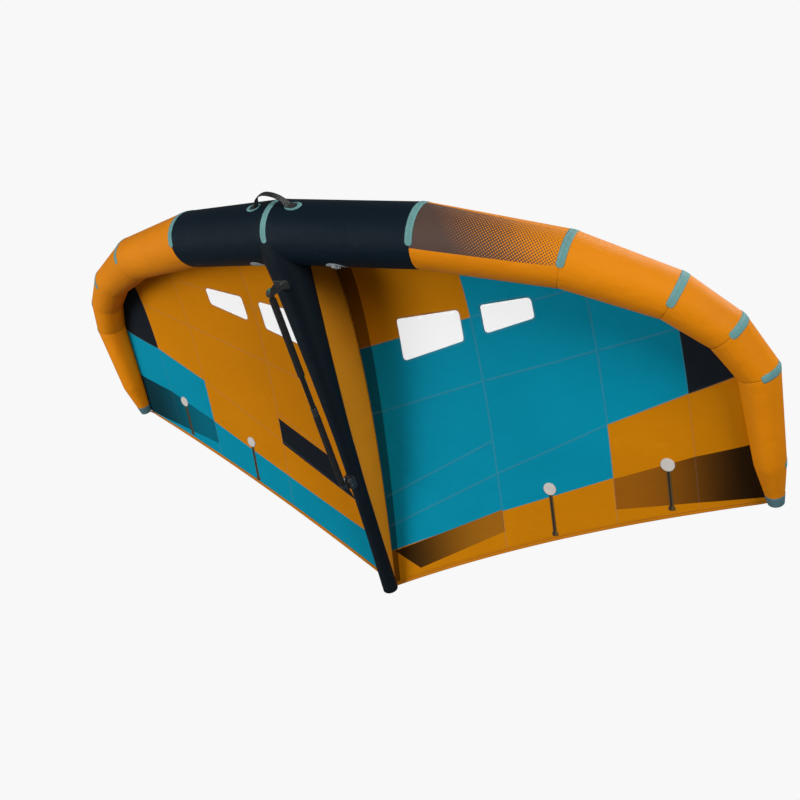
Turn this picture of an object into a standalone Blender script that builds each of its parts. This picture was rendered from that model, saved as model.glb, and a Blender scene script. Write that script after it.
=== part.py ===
"""Hand-held inflatable wing for foil boarding.

An air-filled leading edge and a centre strut carry a four-panel fabric sail on
each side, with film windows and battens. A rigid boom hangs under the strut.
Metres, +X to the right tip, +Y aft, +Z up, origin at the middle of the boom.
"""
import math

import bmesh
import bpy
from mathutils import Matrix, Vector

for old in list(bpy.data.objects):
    bpy.data.objects.remove(old, do_unlink=True)

# Leading edge tube
REACH = 1.70
SWEEP = 1.153
RISE = 0.236
TUBE_RADIUS = 0.1256
TUBE_Y = -0.649
TUBE_Z = 0.150
CASING_WALL = 0.0012
BLADDER_WALL = 0.0008
BLADDER_GAP = 0.0009
SEAM_GAP = 0.0012
SIDES = 24
# Rings from the centre to the tip: reach, sweep, rise and radius.
RING_SHARES = (
    (0.0, 0.0, 0.0, 1.0),
    (0.3505, 0.042, 0.255, 0.957),
    (0.654, 0.142, 0.504, 0.807),
    (0.846, 0.274, 0.739, 0.686),
    (0.938, 0.393, 0.866, 0.619),
    (0.987, 0.527, 0.956, 0.572),
    (0.996, 0.838, 0.940, 0.435),
    (1.0, 1.0, 1.0, 0.209),
)
LAST = len(RING_SHARES) - 1
DOME_STEPS = 3

# Seam tapes round the front of the tube
TAPE_WIDTH = 0.028
TAPE_THICKNESS = 0.0008
TAPE_GAP = 0.0003
TAPE_START_STEPS = (7, 7, 6, 5, 5)
TAPE_END_STEPS = (18, 18, 18, 18, 17)

# Sail
SAIL_END_Y = 1.12
SAIL_END_Z = 0.155
EDGE_SWEEP = 0.617
EDGE_RISE = 0.2553
SAIL_THICKNESS = 0.0012
SAIL_SEAT = 0.0006
PANEL_GAP = 0.0006
EDGE_CURVE_SHARE = 0.36
EDGE_SAG_SHARE = 0.068
EDGE_REACH_SHARES = (0.0, 0.36, 0.652, 0.84, 0.865, 0.895, 0.935, 0.972)
FRONT_ARM_SHARE = 0.05
REAR_ARM_SHARE = 0.95
ATTACH_ANGLE = math.radians(95)
ATTACH_TURN = math.radians(63)
REAR_ANGLE = math.radians(14)
REAR_TURN = math.radians(16.6)
SAIL_STEPS = 14
SAIL_OUTER_SHARE = 0.964
PANEL_ENDS = (1, 2, 3, LAST * SAIL_OUTER_SHARE)
PANEL_ROWS = (4, 3, 3, 2)
HEM_WIDTH = 0.010
HEM_GAP = 0.0003

# Film windows: corners as shares of the reach and of the chord
WINDOW_GAP = 0.0003
WINDOW_CORNER = 0.018
CORNER_STEPS = 4
WINDOW_SHARES = (
    ((0.138, -0.728), (0.319, -0.756), (0.317, -0.680), (0.133, -0.620)),
    ((0.378, -0.768), (0.510, -0.790), (0.510, -0.741), (0.377, -0.699)),
)
CUT_OVERRUN = 0.05

# Battens under the sail
BATTEN_WIDTH = 0.022
BATTEN_THICKNESS = 0.0022
BATTEN_GAP = 0.0003
BATTEN_AT_SHARES = (0.213, 0.374)
BATTEN_FROM_SHARE = 0.918
BATTEN_TO_SHARE = 0.992
BATTEN_STEPS = 3

# Strut
STRUT_Z = 0.115
STRUT_RADIUS = 0.079
STRUT_TAIL = 0.020
STRUT_LENGTH = 1.76
STRUT_CUT_GAP = 0.0006
# Distance from the tail end and radius
STRUT_SHARES = (
    (0.0, 0.0),
    (0.004, 0.24),
    (0.011, 0.39),
    (0.024, 0.44),
    (0.180, 0.405),
    (0.350, 0.415),
    (0.520, 0.505),
    (0.690, 0.690),
    (0.780, 0.815),
    (0.865, 0.925),
    (0.920, 1.0),
    (0.976, 1.14),
    (1.0, 1.18),
)
STRUT_SIDES = 24
NECK_RADIUS = 0.0135
NECK_LENGTH = 0.018
NECK_TO_TUBE = 0.030
SHOULDER = 0.050
SHOULDER_SHARES = (0.99, 0.86, 0.58)

# Web between strut and sail
WEB_THICKNESS = 0.0016
WEB_GAP = 0.0004
WEB_STEPS = 14
WEB_TAIL_SETBACK = 0.012
WEB_LAST_STEP = 5

# Hose from the leading edge bladder into the strut bladder
HOSE_RADIUS = 0.0120
HOSE_WALL = 0.0020
HOSE_GAP = 0.0006
HOSE_INSIDE = 0.016

# Inflation valve behind the leading edge, right of the strut
VALVE_AT = 0.250
VALVE_STEP = 21
VALVE_NECK = 0.0130
VALVE_BORE = 0.0085
VALVE_DEPTH = 0.018
VALVE_FLANGE = 0.0200
VALVE_FLANGE_THICKNESS = 0.0024
VALVE_COLLAR = 0.0125
VALVE_COLLAR_HEIGHT = 0.0040
VALVE_GAP = 0.0005
CAP_RADIUS = 0.0140
CAP_THICKNESS = 0.0035
CAP_PLUG = 0.0025
CAP_PLUG_GAP = 0.0008
CAP_TAB_WIDTH = 0.0080
LUG_OVERLAP = 0.0040

# Front handle
HANDLE_STEP = 13
HANDLE_SPAN = 0.150
HANDLE_HEIGHT = 0.050
HANDLE_FOOT = 0.034
HANDLE_WIDTH = 0.034
HANDLE_THICKNESS = 0.0035
HANDLE_STEPS = 10
PATCH_MARGIN = 0.010
PATCH_THICKNESS = 0.0008
PATCH_GAP = 0.0003

# Boom
BOOM_LENGTH = 0.92
BOOM_SLOPE = math.radians(3)
BOOM_RADIUS = 0.0110
BOOM_WALL = 0.0016
BARE_FRONT = 0.096
BARE_REAR = 0.098
GRIP_THICKNESS = 0.0036
GRIP_SETBACK = 0.012
FIT_GAP = 0.0003
COLLAR_THICKNESS = 0.0022
COLLAR_LENGTH = 0.040
ROUND_STEPS = 24
EDGE_ROUND = 0.0018

# Boom fittings
STEM_LENGTH = 0.030
FITTING_WIDTH = 0.022
ELBOW_DEPTH = 0.026
ELBOW_HEIGHT = 0.042
ELBOW_DROP = 0.014
ELBOW_CHAMFER = 0.009
SPIGOT_RADIUS = 0.0075
SPIGOT_LENGTH = 0.008
SOCKET_GAP = 0.0007
SOCKET_ROOF = 0.0010
BUTTON_RADIUS = 0.0065
BUTTON_LENGTH = 0.011
BUTTON_TRAVEL = 0.0040
BUTTON_PROUD = 0.0050
BASE_LENGTH_FRONT = 0.070
BASE_LENGTH_REAR = 0.062
BASE_WIDTH = 0.044
BASE_GRIP = 0.0020
PIN_RISE = 0.034
PIN_BEHIND = 0.022
PIN_RADIUS = 0.0030
PIN_PROUD = 0.0012
TONGUE_WIDTH = 0.014
KNUCKLE_RADIUS = 0.0090
KNUCKLE_STEPS = 10
REAR_DROP = 0.010

WELD = 0.00001


def new_collection(name):
    collection = bpy.data.collections.new(name)
    bpy.context.scene.collection.children.link(collection)
    return collection


PARTS = new_collection("hand_wing")
CUTTERS = new_collection("cutters")


def make_material(name, colour, roughness, metallic=0.0, alpha=1.0):
    material = bpy.data.materials.new(name)
    material.use_nodes = True
    shader = material.node_tree.nodes["Principled BSDF"]
    shader.inputs["Base Color"].default_value = (*colour, 1.0)
    shader.inputs["Roughness"].default_value = roughness
    shader.inputs["Metallic"].default_value = metallic
    shader.inputs["Alpha"].default_value = alpha
    return material


ORANGE_CASING = make_material("orange_casing", (0.70, 0.24, 0.03), 0.55)
NAVY_CASING = make_material("navy_casing", (0.006, 0.011, 0.018), 0.5)
ORANGE_SAIL = make_material("orange_sail", (0.57, 0.20, 0.005), 0.5)
TEAL_SAIL = make_material("teal_sail", (0.0, 0.26, 0.41), 0.5)
NAVY_SAIL = make_material("navy_sail", (0.009, 0.012, 0.018), 0.5)
TEAL_TAPE = make_material("teal_tape", (0.14, 0.33, 0.34), 0.6)
STRUT_FABRIC = make_material("strut_fabric", (0.004, 0.008, 0.012), 0.5)
BLADDER_FILM = make_material("bladder_film", (0.60, 0.60, 0.58), 0.3)
CLEAR_FILM = make_material("clear_film", (0.9, 0.92, 0.93), 0.08, 0.0, 0.25)
WEBBING = make_material("webbing", (0.02, 0.02, 0.022), 0.8)
CARBON = make_material("carbon", (0.005, 0.005, 0.006), 0.15)
FOAM_GRIP = make_material("foam_grip", (0.008, 0.009, 0.009), 0.9)
MOULDING = make_material("moulding", (0.01, 0.01, 0.011), 0.45)
BUTTON_GREEN = make_material("button_green", (0.12, 0.30, 0.20), 0.4)
STEEL = make_material("steel", (0.6, 0.6, 0.6), 0.3, 1.0)
BATTEN_PLASTIC = make_material("batten_plastic", (0.05, 0.05, 0.05), 0.4)


def place_object(name, mesh, material, collection=None):
    ob = bpy.data.objects.new(name, mesh)
    (collection or PARTS).objects.link(ob)
    if material:
        mesh.materials.append(material)
    if collection == CUTTERS:
        ob.hide_render = True
        ob.display_type = "WIRE"
    return ob


def finish_mesh(name, bm, material, collection=None):
    mesh = bpy.data.meshes.new(name)
    bm.to_mesh(mesh)
    bm.free()
    mesh.shade_smooth()
    mesh.set_sharp_from_angle(angle=math.radians(35))
    return place_object(name, mesh, material, collection)


def surface_mesh(point, across, along, closed=False, capped=False):
    """A grid laid on a surface: point(a, b) gives the place of each vertex."""
    bm = bmesh.new()
    bmesh.ops.create_grid(bm, x_segments=len(across) - 1, y_segments=len(along) - 1, size=1)
    for vertex in bm.verts:
        column = round((vertex.co.x + 1) / 2 * (len(across) - 1))
        row = round((vertex.co.y + 1) / 2 * (len(along) - 1))
        vertex.co = point(across[column], along[row])
    if closed:
        bmesh.ops.remove_doubles(bm, verts=bm.verts, dist=WELD)
    if capped:
        bmesh.ops.holes_fill(bm, edges=bm.edges, sides=0)
    return bm


def solidify(ob, thickness, outward):
    modifier = ob.modifiers.new("Thickness", "SOLIDIFY")
    modifier.thickness = thickness
    modifier.offset = 1.0 if outward else -1.0
    return modifier


def cut(ob, cutter, operation="DIFFERENCE"):
    modifier = ob.modifiers.new(cutter.name, "BOOLEAN")
    modifier.operation = operation
    modifier.object = cutter
    modifier.solver = "EXACT"
    return modifier


def mirrored(ob, name, collection=None):
    """The same piece on the left side, with its own mesh."""
    twin = ob.copy()
    twin.data = ob.data.copy()
    twin.name = name
    twin.data.name = name
    twin.data.transform(Matrix.Scale(-1, 4, Vector((1, 0, 0))))
    twin.data.flip_normals()
    (collection or PARTS).objects.link(twin)
    return twin


def spread(start, end, steps):
    return [start + (end - start) * i / steps for i in range(steps + 1)]


# tube surface
def ring_centre(index):
    reach, sweep, rise, _ = RING_SHARES[index]
    return Vector((REACH * reach, TUBE_Y + SWEEP * sweep, TUBE_Z + RISE * rise))


def ring_radius(index):
    return TUBE_RADIUS * RING_SHARES[index][3]


def ring_direction(index):
    """Direction of the tube at a ring: the bisector of its two runs."""
    if index == 0:
        return Vector((1, 0, 0))
    before = (ring_centre(index) - ring_centre(index - 1)).normalized()
    if index == LAST:
        return before
    after = (ring_centre(index + 1) - ring_centre(index)).normalized()
    return (before + after).normalized()


def ring_axes(index):
    """Aft and upward unit vectors in the plane of a ring."""
    along = ring_direction(index)
    up = Vector((0, 0, 1))
    up = (up - along * up.dot(along)).normalized()
    return up.cross(along), up


def ring_point(index, angle, lift):
    aft, up = ring_axes(index)
    radial = aft * math.cos(angle) + up * math.sin(angle)
    return ring_centre(index) + radial * (ring_radius(index) + lift)


def tube_point(station, angle, lift=0.0):
    """Point on the tube; angle runs from aft over the top, past LAST is the tip dome."""
    side = 1 if station >= 0 else -1
    station = abs(station)
    if station > LAST:
        bend = (station - LAST) * math.pi / 2
        rim = ring_point(LAST, angle, lift) - ring_centre(LAST)
        tip = ring_direction(LAST) * (ring_radius(LAST) + lift)
        place = ring_centre(LAST) + rim * math.cos(bend) + tip * math.sin(bend)
    else:
        index = min(int(station), LAST - 1)
        part = station - index
        place = ring_point(index, angle, lift).lerp(ring_point(index + 1, angle, lift), part)
    return Vector((place.x * side, place.y, place.z))


def run_length(index):
    return (ring_centre(index + 1) - ring_centre(index)).length


def step_angle(step):
    return step * math.tau / SIDES


ALL_ROUND = [step_angle(step) for step in range(SIDES + 1)]
DOME = [LAST + (i + 1) / DOME_STEPS for i in range(DOME_STEPS)]


def tube_piece(name, stations, lift, thickness, material):
    bm = surface_mesh(
        lambda angle, station: tube_point(station, angle, lift), ALL_ROUND, stations, closed=True)
    ob = finish_mesh(name, bm, material)
    solidify(ob, thickness, outward=False)
    return ob


# Casing panels, sewn end to end, the outer one closed by the tip
panels_right = []
for number in range(LAST - 1):
    first = number + SEAM_GAP / 2 / run_length(number)
    if number < LAST - 2:
        stations = [first, number + 1 - SEAM_GAP / 2 / run_length(number)]
    else:
        stations = [first, number + 1, LAST] + DOME
    fabric = NAVY_CASING if number == 0 else ORANGE_CASING
    panel = tube_piece(f"le_panel_r{number + 1}", stations, 0.0, CASING_WALL, fabric)
    panels_right.append(panel)
panels_left = [mirrored(panel, f"le_panel_l{i + 1}") for i, panel in enumerate(panels_right)]

# Bladder inside the casing, one length from tip to tip
bladder_lift = -(CASING_WALL + BLADDER_GAP)
half = list(range(1, LAST + 1)) + DOME
le_bladder = tube_piece(
    "le_bladder", [-s for s in reversed(half)] + [0] + half, bladder_lift, BLADDER_WALL,
    BLADDER_FILM)

# Tapes over the seams
for number, (start, end) in enumerate(zip(TAPE_START_STEPS, TAPE_END_STEPS)):
    outer = number + TAPE_WIDTH / 2 / run_length(number)
    if number == 0:
        stations = [-outer, 0, outer]
    else:
        stations = [number - TAPE_WIDTH / 2 / run_length(number - 1), number, outer]
    bm = surface_mesh(
        lambda angle, station: tube_point(station, angle, TAPE_GAP),
        [step_angle(step) for step in range(start, end + 1)], stations)
    name = "le_tape_centre" if number == 0 else f"le_tape_r{number}"
    tape = finish_mesh(name, bm, TEAL_TAPE)
    solidify(tape, TAPE_THICKNESS, outward=True)
    if number:
        mirrored(tape, f"le_tape_l{number}")


# sail surface
def share_at(shares, station):
    index = min(int(station), len(shares) - 2)
    return shares[index] + (shares[index + 1] - shares[index]) * (station - index)


def edge_point(station):
    """Trailing edge beside each ring of the leading edge."""
    out = share_at(EDGE_REACH_SHARES, station)
    forward = EDGE_SWEEP * out * (1 + EDGE_CURVE_SHARE * (1 - out))
    rise = EDGE_RISE * out * (1 - EDGE_SAG_SHARE * (1 - out))
    return Vector((REACH * out, SAIL_END_Y - forward, SAIL_END_Z + rise))


def sail_point(station, share):
    """Sail section: leaves the tube at a tangent and runs to the trailing edge."""
    turn = station / LAST
    angle = ATTACH_ANGLE - ATTACH_TURN * turn
    front = tube_point(station, angle, SAIL_SEAT)
    back = edge_point(station)
    index = min(int(station), LAST - 1)
    aft = ring_axes(index)[0].lerp(ring_axes(index + 1)[0], station - index).normalized()
    chord = back - front
    level = Vector((chord.x, chord.y, 0)).normalized()
    lean = angle - math.pi / 2
    leave = aft * math.cos(lean) + Vector((0, 0, math.sin(lean)))
    fall = REAR_ANGLE - REAR_TURN * turn
    arrive = Vector((0, 0, math.sin(fall))) - level * math.cos(fall)
    front_arm = front + leave * chord.length * FRONT_ARM_SHARE
    rear_arm = back + arrive * chord.length * REAR_ARM_SHARE
    rest = 1 - share
    return (front * rest ** 3 + front_arm * (3 * rest * rest * share)
            + rear_arm * (3 * rest * share * share) + back * share ** 3)


def sail_piece(name, stations, shares, material):
    bm = surface_mesh(sail_point, stations, shares)
    ob = finish_mesh(name, bm, material)
    solidify(ob, SAIL_THICKNESS, outward=True)
    return ob


def sail_stations(panel):
    """Rows of a panel, with one on every ring of the tube that it passes."""
    end = PANEL_ENDS[panel]
    first = panel + PANEL_GAP / 2 / run_length(panel)
    if panel < len(PANEL_ENDS) - 1:
        return spread(first, end - PANEL_GAP / 2 / run_length(panel), PANEL_ROWS[panel])
    stations = [first]
    while stations[-1] < end:
        run_end = min(int(stations[-1]) + 1, end)
        stations += spread(stations[-1], run_end, PANEL_ROWS[panel])[1:]
    return stations


CHORD_SHARES = spread(0, 1, SAIL_STEPS)
PANEL_FABRICS = (ORANGE_SAIL, TEAL_SAIL, TEAL_SAIL, NAVY_SAIL)
LEFT_FABRICS = (ORANGE_SAIL, ORANGE_SAIL, TEAL_SAIL, NAVY_SAIL)
sail_right = [
    sail_piece(f"sail_panel_r{i + 1}", sail_stations(i), CHORD_SHARES, PANEL_FABRICS[i])
    for i in range(len(PANEL_ENDS))]
CHORD = SAIL_END_Y - TUBE_Y


def inset_corners(corners, inset):
    """Moves each side of a convex outline inward by the same distance."""
    moved = []
    for i, corner in enumerate(corners):
        before = (corner - corners[i - 1]).normalized()
        after = (corners[(i + 1) % len(corners)] - corner).normalized()
        sine = before.x * after.y - before.y * after.x
        moved.append(corner + (after - before) * (inset / abs(sine)))
    return moved


def rounded_outline(corners, radius):
    points = []
    for i, corner in enumerate(corners):
        to_before = (corners[i - 1] - corner).normalized()
        to_after = (corners[(i + 1) % len(corners)] - corner).normalized()
        opening = math.acos(to_before.dot(to_after))
        reach = radius / math.tan(opening / 2)
        start = corner + to_before * reach
        end = corner + to_after * reach
        for step in range(CORNER_STEPS + 1):
            share = step / CORNER_STEPS
            near = start.lerp(corner, share)
            points.append(near.lerp(corner.lerp(end, share), share))
    return points


def flat_outline(name, points, half_thickness, collection=None, material=None):
    """A closed outline in the local XY plane, extruded both ways."""
    curve = bpy.data.curves.new(name, "CURVE")
    curve.dimensions = "2D"
    curve.fill_mode = "BOTH"
    curve.extrude = half_thickness
    spline = curve.splines.new("POLY")
    spline.points.add(len(points) - 1)
    for point, (x, y) in zip(spline.points, points):
        point.co = (x, y, 0, 1)
    spline.use_cyclic_u = True
    ob = bpy.data.objects.new(name, curve)
    (collection or PARTS).objects.link(ob)
    if material:
        curve.materials.append(material)
    return ob


def as_mesh(ob, collection=None):
    """Turns a curve object into a welded mesh object."""
    bpy.context.view_layer.update()
    name = ob.name
    depsgraph = bpy.context.evaluated_depsgraph_get()
    mesh = bpy.data.meshes.new_from_object(ob.evaluated_get(depsgraph))
    bm = bmesh.new()
    bm.from_mesh(mesh)
    bmesh.ops.remove_doubles(bm, verts=bm.verts, dist=WELD)
    bmesh.ops.recalc_face_normals(bm, faces=bm.faces)
    bm.to_mesh(mesh)
    bm.free()
    place = ob.matrix_world.copy()
    bpy.data.objects.remove(ob, do_unlink=True)
    twin = place_object(name, mesh, None, collection)
    twin.matrix_world = place
    return twin


def window_cutter(name, corner_shares, inset):
    corners = [Vector((REACH * x, SAIL_END_Y + CHORD * y)) for x, y in corner_shares]
    outline = rounded_outline(inset_corners(corners, inset), WINDOW_CORNER)
    tall = RISE + TUBE_RADIUS + CUT_OVERRUN
    ob = flat_outline(name, outline, tall, CUTTERS)
    ob.location.z = TUBE_Z
    return as_mesh(ob, CUTTERS)


# Windows: film set into the first two panels, on both sides
windows_right = []
holes = []
for i, corner_shares in enumerate(WINDOW_SHARES):
    hole = window_cutter(f"window_hole_{i + 1}", corner_shares, 0.0)
    film_shape = window_cutter(f"window_film_{i + 1}", corner_shares, WINDOW_GAP)
    film = sail_piece(f"window_r{i + 1}", sail_stations(i), CHORD_SHARES, CLEAR_FILM)
    cut(film, film_shape, "INTERSECT")
    cut(sail_right[i], hole)
    windows_right.append(film)
    holes.append((hole, film_shape))


def mirror_cut(ob, name, cutter):
    """Left copy of a piece whose cutter has to change sides too."""
    twin = mirrored(ob, name)
    modifier = next((m for m in twin.modifiers if m.type == "BOOLEAN"), None)
    if modifier:
        modifier.object = cutter
    return twin


for i, panel in enumerate(sail_right):
    if i < len(holes):
        left_hole = mirrored(holes[i][0], f"window_hole_left_{i + 1}", CUTTERS)
        left_film = mirrored(holes[i][1], f"window_film_left_{i + 1}", CUTTERS)
        twin = mirror_cut(panel, f"sail_panel_l{i + 1}", left_hole)
        mirror_cut(windows_right[i], f"window_l{i + 1}", left_film)
    else:
        twin = mirrored(panel, f"sail_panel_l{i + 1}")
    twin.data.materials.clear()
    twin.data.materials.append(LEFT_FABRICS[i])


# Hem along the trailing edge
def hem_point(station, out):
    end = sail_point(station, 1.0)
    before = sail_point(station, 1 - 1 / SAIL_STEPS)
    return end + (end - before).normalized() * out


hem_stations = sorted({s for i in range(len(PANEL_ENDS)) for s in sail_stations(i)})
hem_bm = surface_mesh(hem_point, hem_stations, [HEM_GAP, HEM_GAP + HEM_WIDTH])
hem = finish_mesh("hem_r", hem_bm, ORANGE_SAIL)
solidify(hem, SAIL_THICKNESS, outward=True)
mirrored(hem, "hem_l")

# Battens under the sail, square to the trailing edge
for i, at_share in enumerate(BATTEN_AT_SHARES):
    middle = LAST * at_share
    width = (sail_point(int(middle) + 1, 1) - sail_point(int(middle), 1)).length
    half = BATTEN_WIDTH / 2 / width

    def under(station, share):
        here = sail_point(station, share)
        step = BATTEN_THICKNESS / CHORD
        ahead = sail_point(station, share - step) - here
        beside = sail_point(station + step, share) - here
        return here + beside.cross(ahead).normalized() * BATTEN_GAP

    batten_bm = surface_mesh(
        under, [middle - half, middle, middle + half],
        spread(BATTEN_FROM_SHARE, BATTEN_TO_SHARE, BATTEN_STEPS))
    batten = finish_mesh(f"batten_r{i + 1}", batten_bm, BATTEN_PLASTIC)
    solidify(batten, BATTEN_THICKNESS, outward=False)
    mirrored(batten, f"batten_l{i + 1}")


# turned pieces
ALONG_Y = Matrix.Rotation(-math.pi / 2, 4, "X")


def turned(name, profile, material, closed=True, collection=None, sides=ROUND_STEPS):
    """Turns (radius, height) points round the local Z axis, top to bottom."""
    mesh = bpy.data.meshes.new(name)
    bm = bmesh.new()
    verts = [bm.verts.new((radius, 0, height)) for radius, height in profile]
    for first, second in zip(verts, verts[1:]):
        bm.edges.new((first, second))
    if closed:
        bm.edges.new((verts[-1], verts[0]))
    bm.to_mesh(mesh)
    bm.free()
    ob = place_object(name, mesh, material, collection)
    modifier = ob.modifiers.new("Turn", "SCREW")
    modifier.axis = "Z"
    modifier.steps = sides
    modifier.render_steps = sides
    modifier.use_merge_vertices = True
    modifier.merge_threshold = WELD
    modifier.use_smooth_shade = True
    return ob


def sleeve(name, inner, outer, start, end, material, collection=None):
    """A round tube along the boom or the strut, between two places on the axis."""
    profile = [(outer, end), (outer, start), (inner, start), (inner, end)]
    return turned(name, profile, material, collection=collection)


def rod(name, radius, start, end, material, collection=None):
    profile = [(0, end), (radius, end), (radius, start), (0, start)]
    return turned(name, profile, material, closed=False, collection=collection)


# Strut
STRUT_END_Y = SAIL_END_Y + STRUT_TAIL


def strut_profile(lift):
    """From the tail end forward: radius and height along the aft axis."""
    points = []
    for distance, radius in STRUT_SHARES:
        outward = STRUT_RADIUS * radius + (lift if radius else 0)
        points.append((outward, -STRUT_LENGTH * distance + lift))
    return points


def strut_radius_at(y):
    """Outer radius of the strut beside a place on its axis."""
    distance = (STRUT_END_Y - y) / STRUT_LENGTH
    for (near, small), (far, large) in zip(STRUT_SHARES, STRUT_SHARES[1:]):
        if distance <= far:
            return STRUT_RADIUS * (small + (large - small) * (distance - near) / (far - near))
    return STRUT_RADIUS * STRUT_SHARES[-1][1]


def on_strut_axis(ob):
    ob.matrix_world = Matrix.Translation((0, STRUT_END_Y, STRUT_Z)) @ ALONG_Y
    return ob


# The tube's outside, lifted and closed, as the shape that trims the strut
trim_bm = surface_mesh(
    lambda angle, station: tube_point(station, angle, STRUT_CUT_GAP),
    ALL_ROUND, [-1 / 2, 0, 1 / 2], closed=True, capped=True)
tube_trim = finish_mesh("tube_trim", trim_bm, None, CUTTERS)
strut_casing = on_strut_axis(
    turned("strut_casing", strut_profile(0.0), STRUT_FABRIC, closed=False, sides=STRUT_SIDES))
solidify(strut_casing, CASING_WALL, outward=False)
cut(strut_casing, tube_trim)

# Strut bladder with an open neck that faces the leading edge
tube_back = TUBE_Y + math.sqrt(TUBE_RADIUS ** 2 - (TUBE_Z - STRUT_Z) ** 2)
neck_end = tube_back + NECK_TO_TUBE
inner_profile = [
    point for point in strut_profile(bladder_lift)
    if STRUT_END_Y + point[1] > neck_end + NECK_LENGTH + SHOULDER]
shoulder_y = neck_end + NECK_LENGTH + SHOULDER
shoulder_radius = strut_radius_at(shoulder_y) + bladder_lift
for i, share in enumerate(SHOULDER_SHARES):
    along_y = shoulder_y - SHOULDER * i / len(SHOULDER_SHARES)
    inner_profile.append((shoulder_radius * share, along_y - STRUT_END_Y))
inner_profile.append((NECK_RADIUS + BLADDER_WALL, shoulder_y - SHOULDER - STRUT_END_Y))
inner_profile.append((NECK_RADIUS + BLADDER_WALL, neck_end - STRUT_END_Y))
strut_bladder = on_strut_axis(
    turned("strut_bladder", inner_profile, BLADDER_FILM, closed=False, sides=STRUT_SIDES))
solidify(strut_bladder, BLADDER_WALL, outward=False)

# Hose through the back of the tube into the neck
hose_front = tube_back - HOSE_INSIDE
hose_rear = neck_end + NECK_LENGTH
on_strut_axis(sleeve(
    "connector_hose", HOSE_RADIUS - HOSE_WALL, HOSE_RADIUS, hose_front - STRUT_END_Y,
    hose_rear - STRUT_END_Y, WEBBING))
hose_hole = on_strut_axis(rod(
    "hose_hole", HOSE_RADIUS + HOSE_GAP, hose_front - HOSE_INSIDE - STRUT_END_Y,
    neck_end - STRUT_END_Y, None, CUTTERS))
cut(le_bladder, hose_hole)
cut(panels_right[0], hose_hole)
cut(panels_left[0], hose_hole)

# Web: from the strut's top line up to the underside of the sail
web_outline = []
web_tail = SAIL_END_Y - WEB_TAIL_SETBACK
web_front = TUBE_Y + TUBE_RADIUS
for _ in range(WEB_STEPS):
    rise = STRUT_Z + strut_radius_at(web_front) + WEB_GAP - TUBE_Z
    web_front = TUBE_Y + math.sqrt((TUBE_RADIUS + WEB_GAP) ** 2 - rise ** 2)
strut_breaks = [STRUT_END_Y - STRUT_LENGTH * distance for distance, _ in STRUT_SHARES]
lower_line = [web_tail] + [y for y in strut_breaks if web_front < y < web_tail] + [web_front]
for y in lower_line:
    web_outline.append((y, STRUT_Z + strut_radius_at(y) + WEB_GAP))
for step in range(1, WEB_LAST_STEP + 1):
    place = tube_point(0, step_angle(step), WEB_GAP)
    if place.z > web_outline[-1][1]:
        web_outline.append((place.y, place.z))
for share in CHORD_SHARES[1:]:
    place = sail_point(0, share)
    if web_outline[-1][0] < place.y < web_tail:
        web_outline.append((place.y, place.z - WEB_GAP))
ON_EDGE = Matrix(((0, 0, 1, 0), (1, 0, 0, 0), (0, 1, 0, 0), (0, 0, 0, 1)))
web = flat_outline("strut_web", web_outline, WEB_THICKNESS / 2, None, ORANGE_SAIL)
web.matrix_world = ON_EDGE

# valve
valve_station = VALVE_AT / (REACH * RING_SHARES[1][0])
valve_low = tube_point(valve_station, step_angle(VALVE_STEP))
valve_high = tube_point(valve_station, step_angle(VALVE_STEP + 1))
valve_seat = (valve_low + valve_high) / 2
valve_side = (valve_high - valve_low).normalized()
valve_run = (tube_point(1, step_angle(VALVE_STEP)) - tube_point(0, step_angle(VALVE_STEP)))
valve_run = valve_run.normalized()
valve_axis = valve_side.cross(valve_run).normalized()
valve_run = valve_axis.cross(valve_side)
if valve_axis.z > 0:
    valve_axis = -valve_axis
    valve_run = -valve_run
VALVE_FRAME = Matrix.Translation(valve_seat) @ Matrix(
    (valve_side, valve_run, valve_axis)).transposed().to_4x4()
flange_top = VALVE_GAP + VALVE_FLANGE_THICKNESS
collar_top = flange_top + VALVE_COLLAR_HEIGHT
valve_body = turned("valve_body", [
    (VALVE_COLLAR, collar_top), (VALVE_COLLAR, flange_top), (VALVE_FLANGE, flange_top),
    (VALVE_FLANGE, VALVE_GAP), (VALVE_NECK, VALVE_GAP), (VALVE_NECK, -VALVE_DEPTH),
    (VALVE_BORE, -VALVE_DEPTH), (VALVE_BORE, collar_top)], MOULDING)
valve_body.matrix_world = VALVE_FRAME
valve_hole = rod(
    "valve_hole", VALVE_NECK + VALVE_GAP, -VALVE_DEPTH - VALVE_GAP, collar_top, None, CUTTERS)
valve_hole.matrix_world = VALVE_FRAME
cut(le_bladder, valve_hole)
cut(panels_right[0], valve_hole)

cap_bottom = collar_top + FIT_GAP
cap_top = cap_bottom + CAP_THICKNESS
valve_cap = turned("valve_cap", [
    (0, cap_top), (CAP_RADIUS, cap_top), (CAP_RADIUS, cap_bottom),
    (VALVE_BORE - CAP_PLUG_GAP, cap_bottom), (VALVE_BORE - CAP_PLUG_GAP, cap_bottom - CAP_PLUG),
    (0, cap_bottom - CAP_PLUG)], MOULDING, closed=False)
tab_reach = VALVE_FLANGE - CAP_RADIUS + LUG_OVERLAP


def box_object(name, size, centre, collection=None, material=None):
    bm = bmesh.new()
    bmesh.ops.create_cube(bm, size=1, matrix=Matrix.Diagonal((*size, 1)))
    mesh = bpy.data.meshes.new(name)
    bm.to_mesh(mesh)
    bm.free()
    ob = place_object(name, mesh, material, collection)
    ob.location = centre
    return ob


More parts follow.
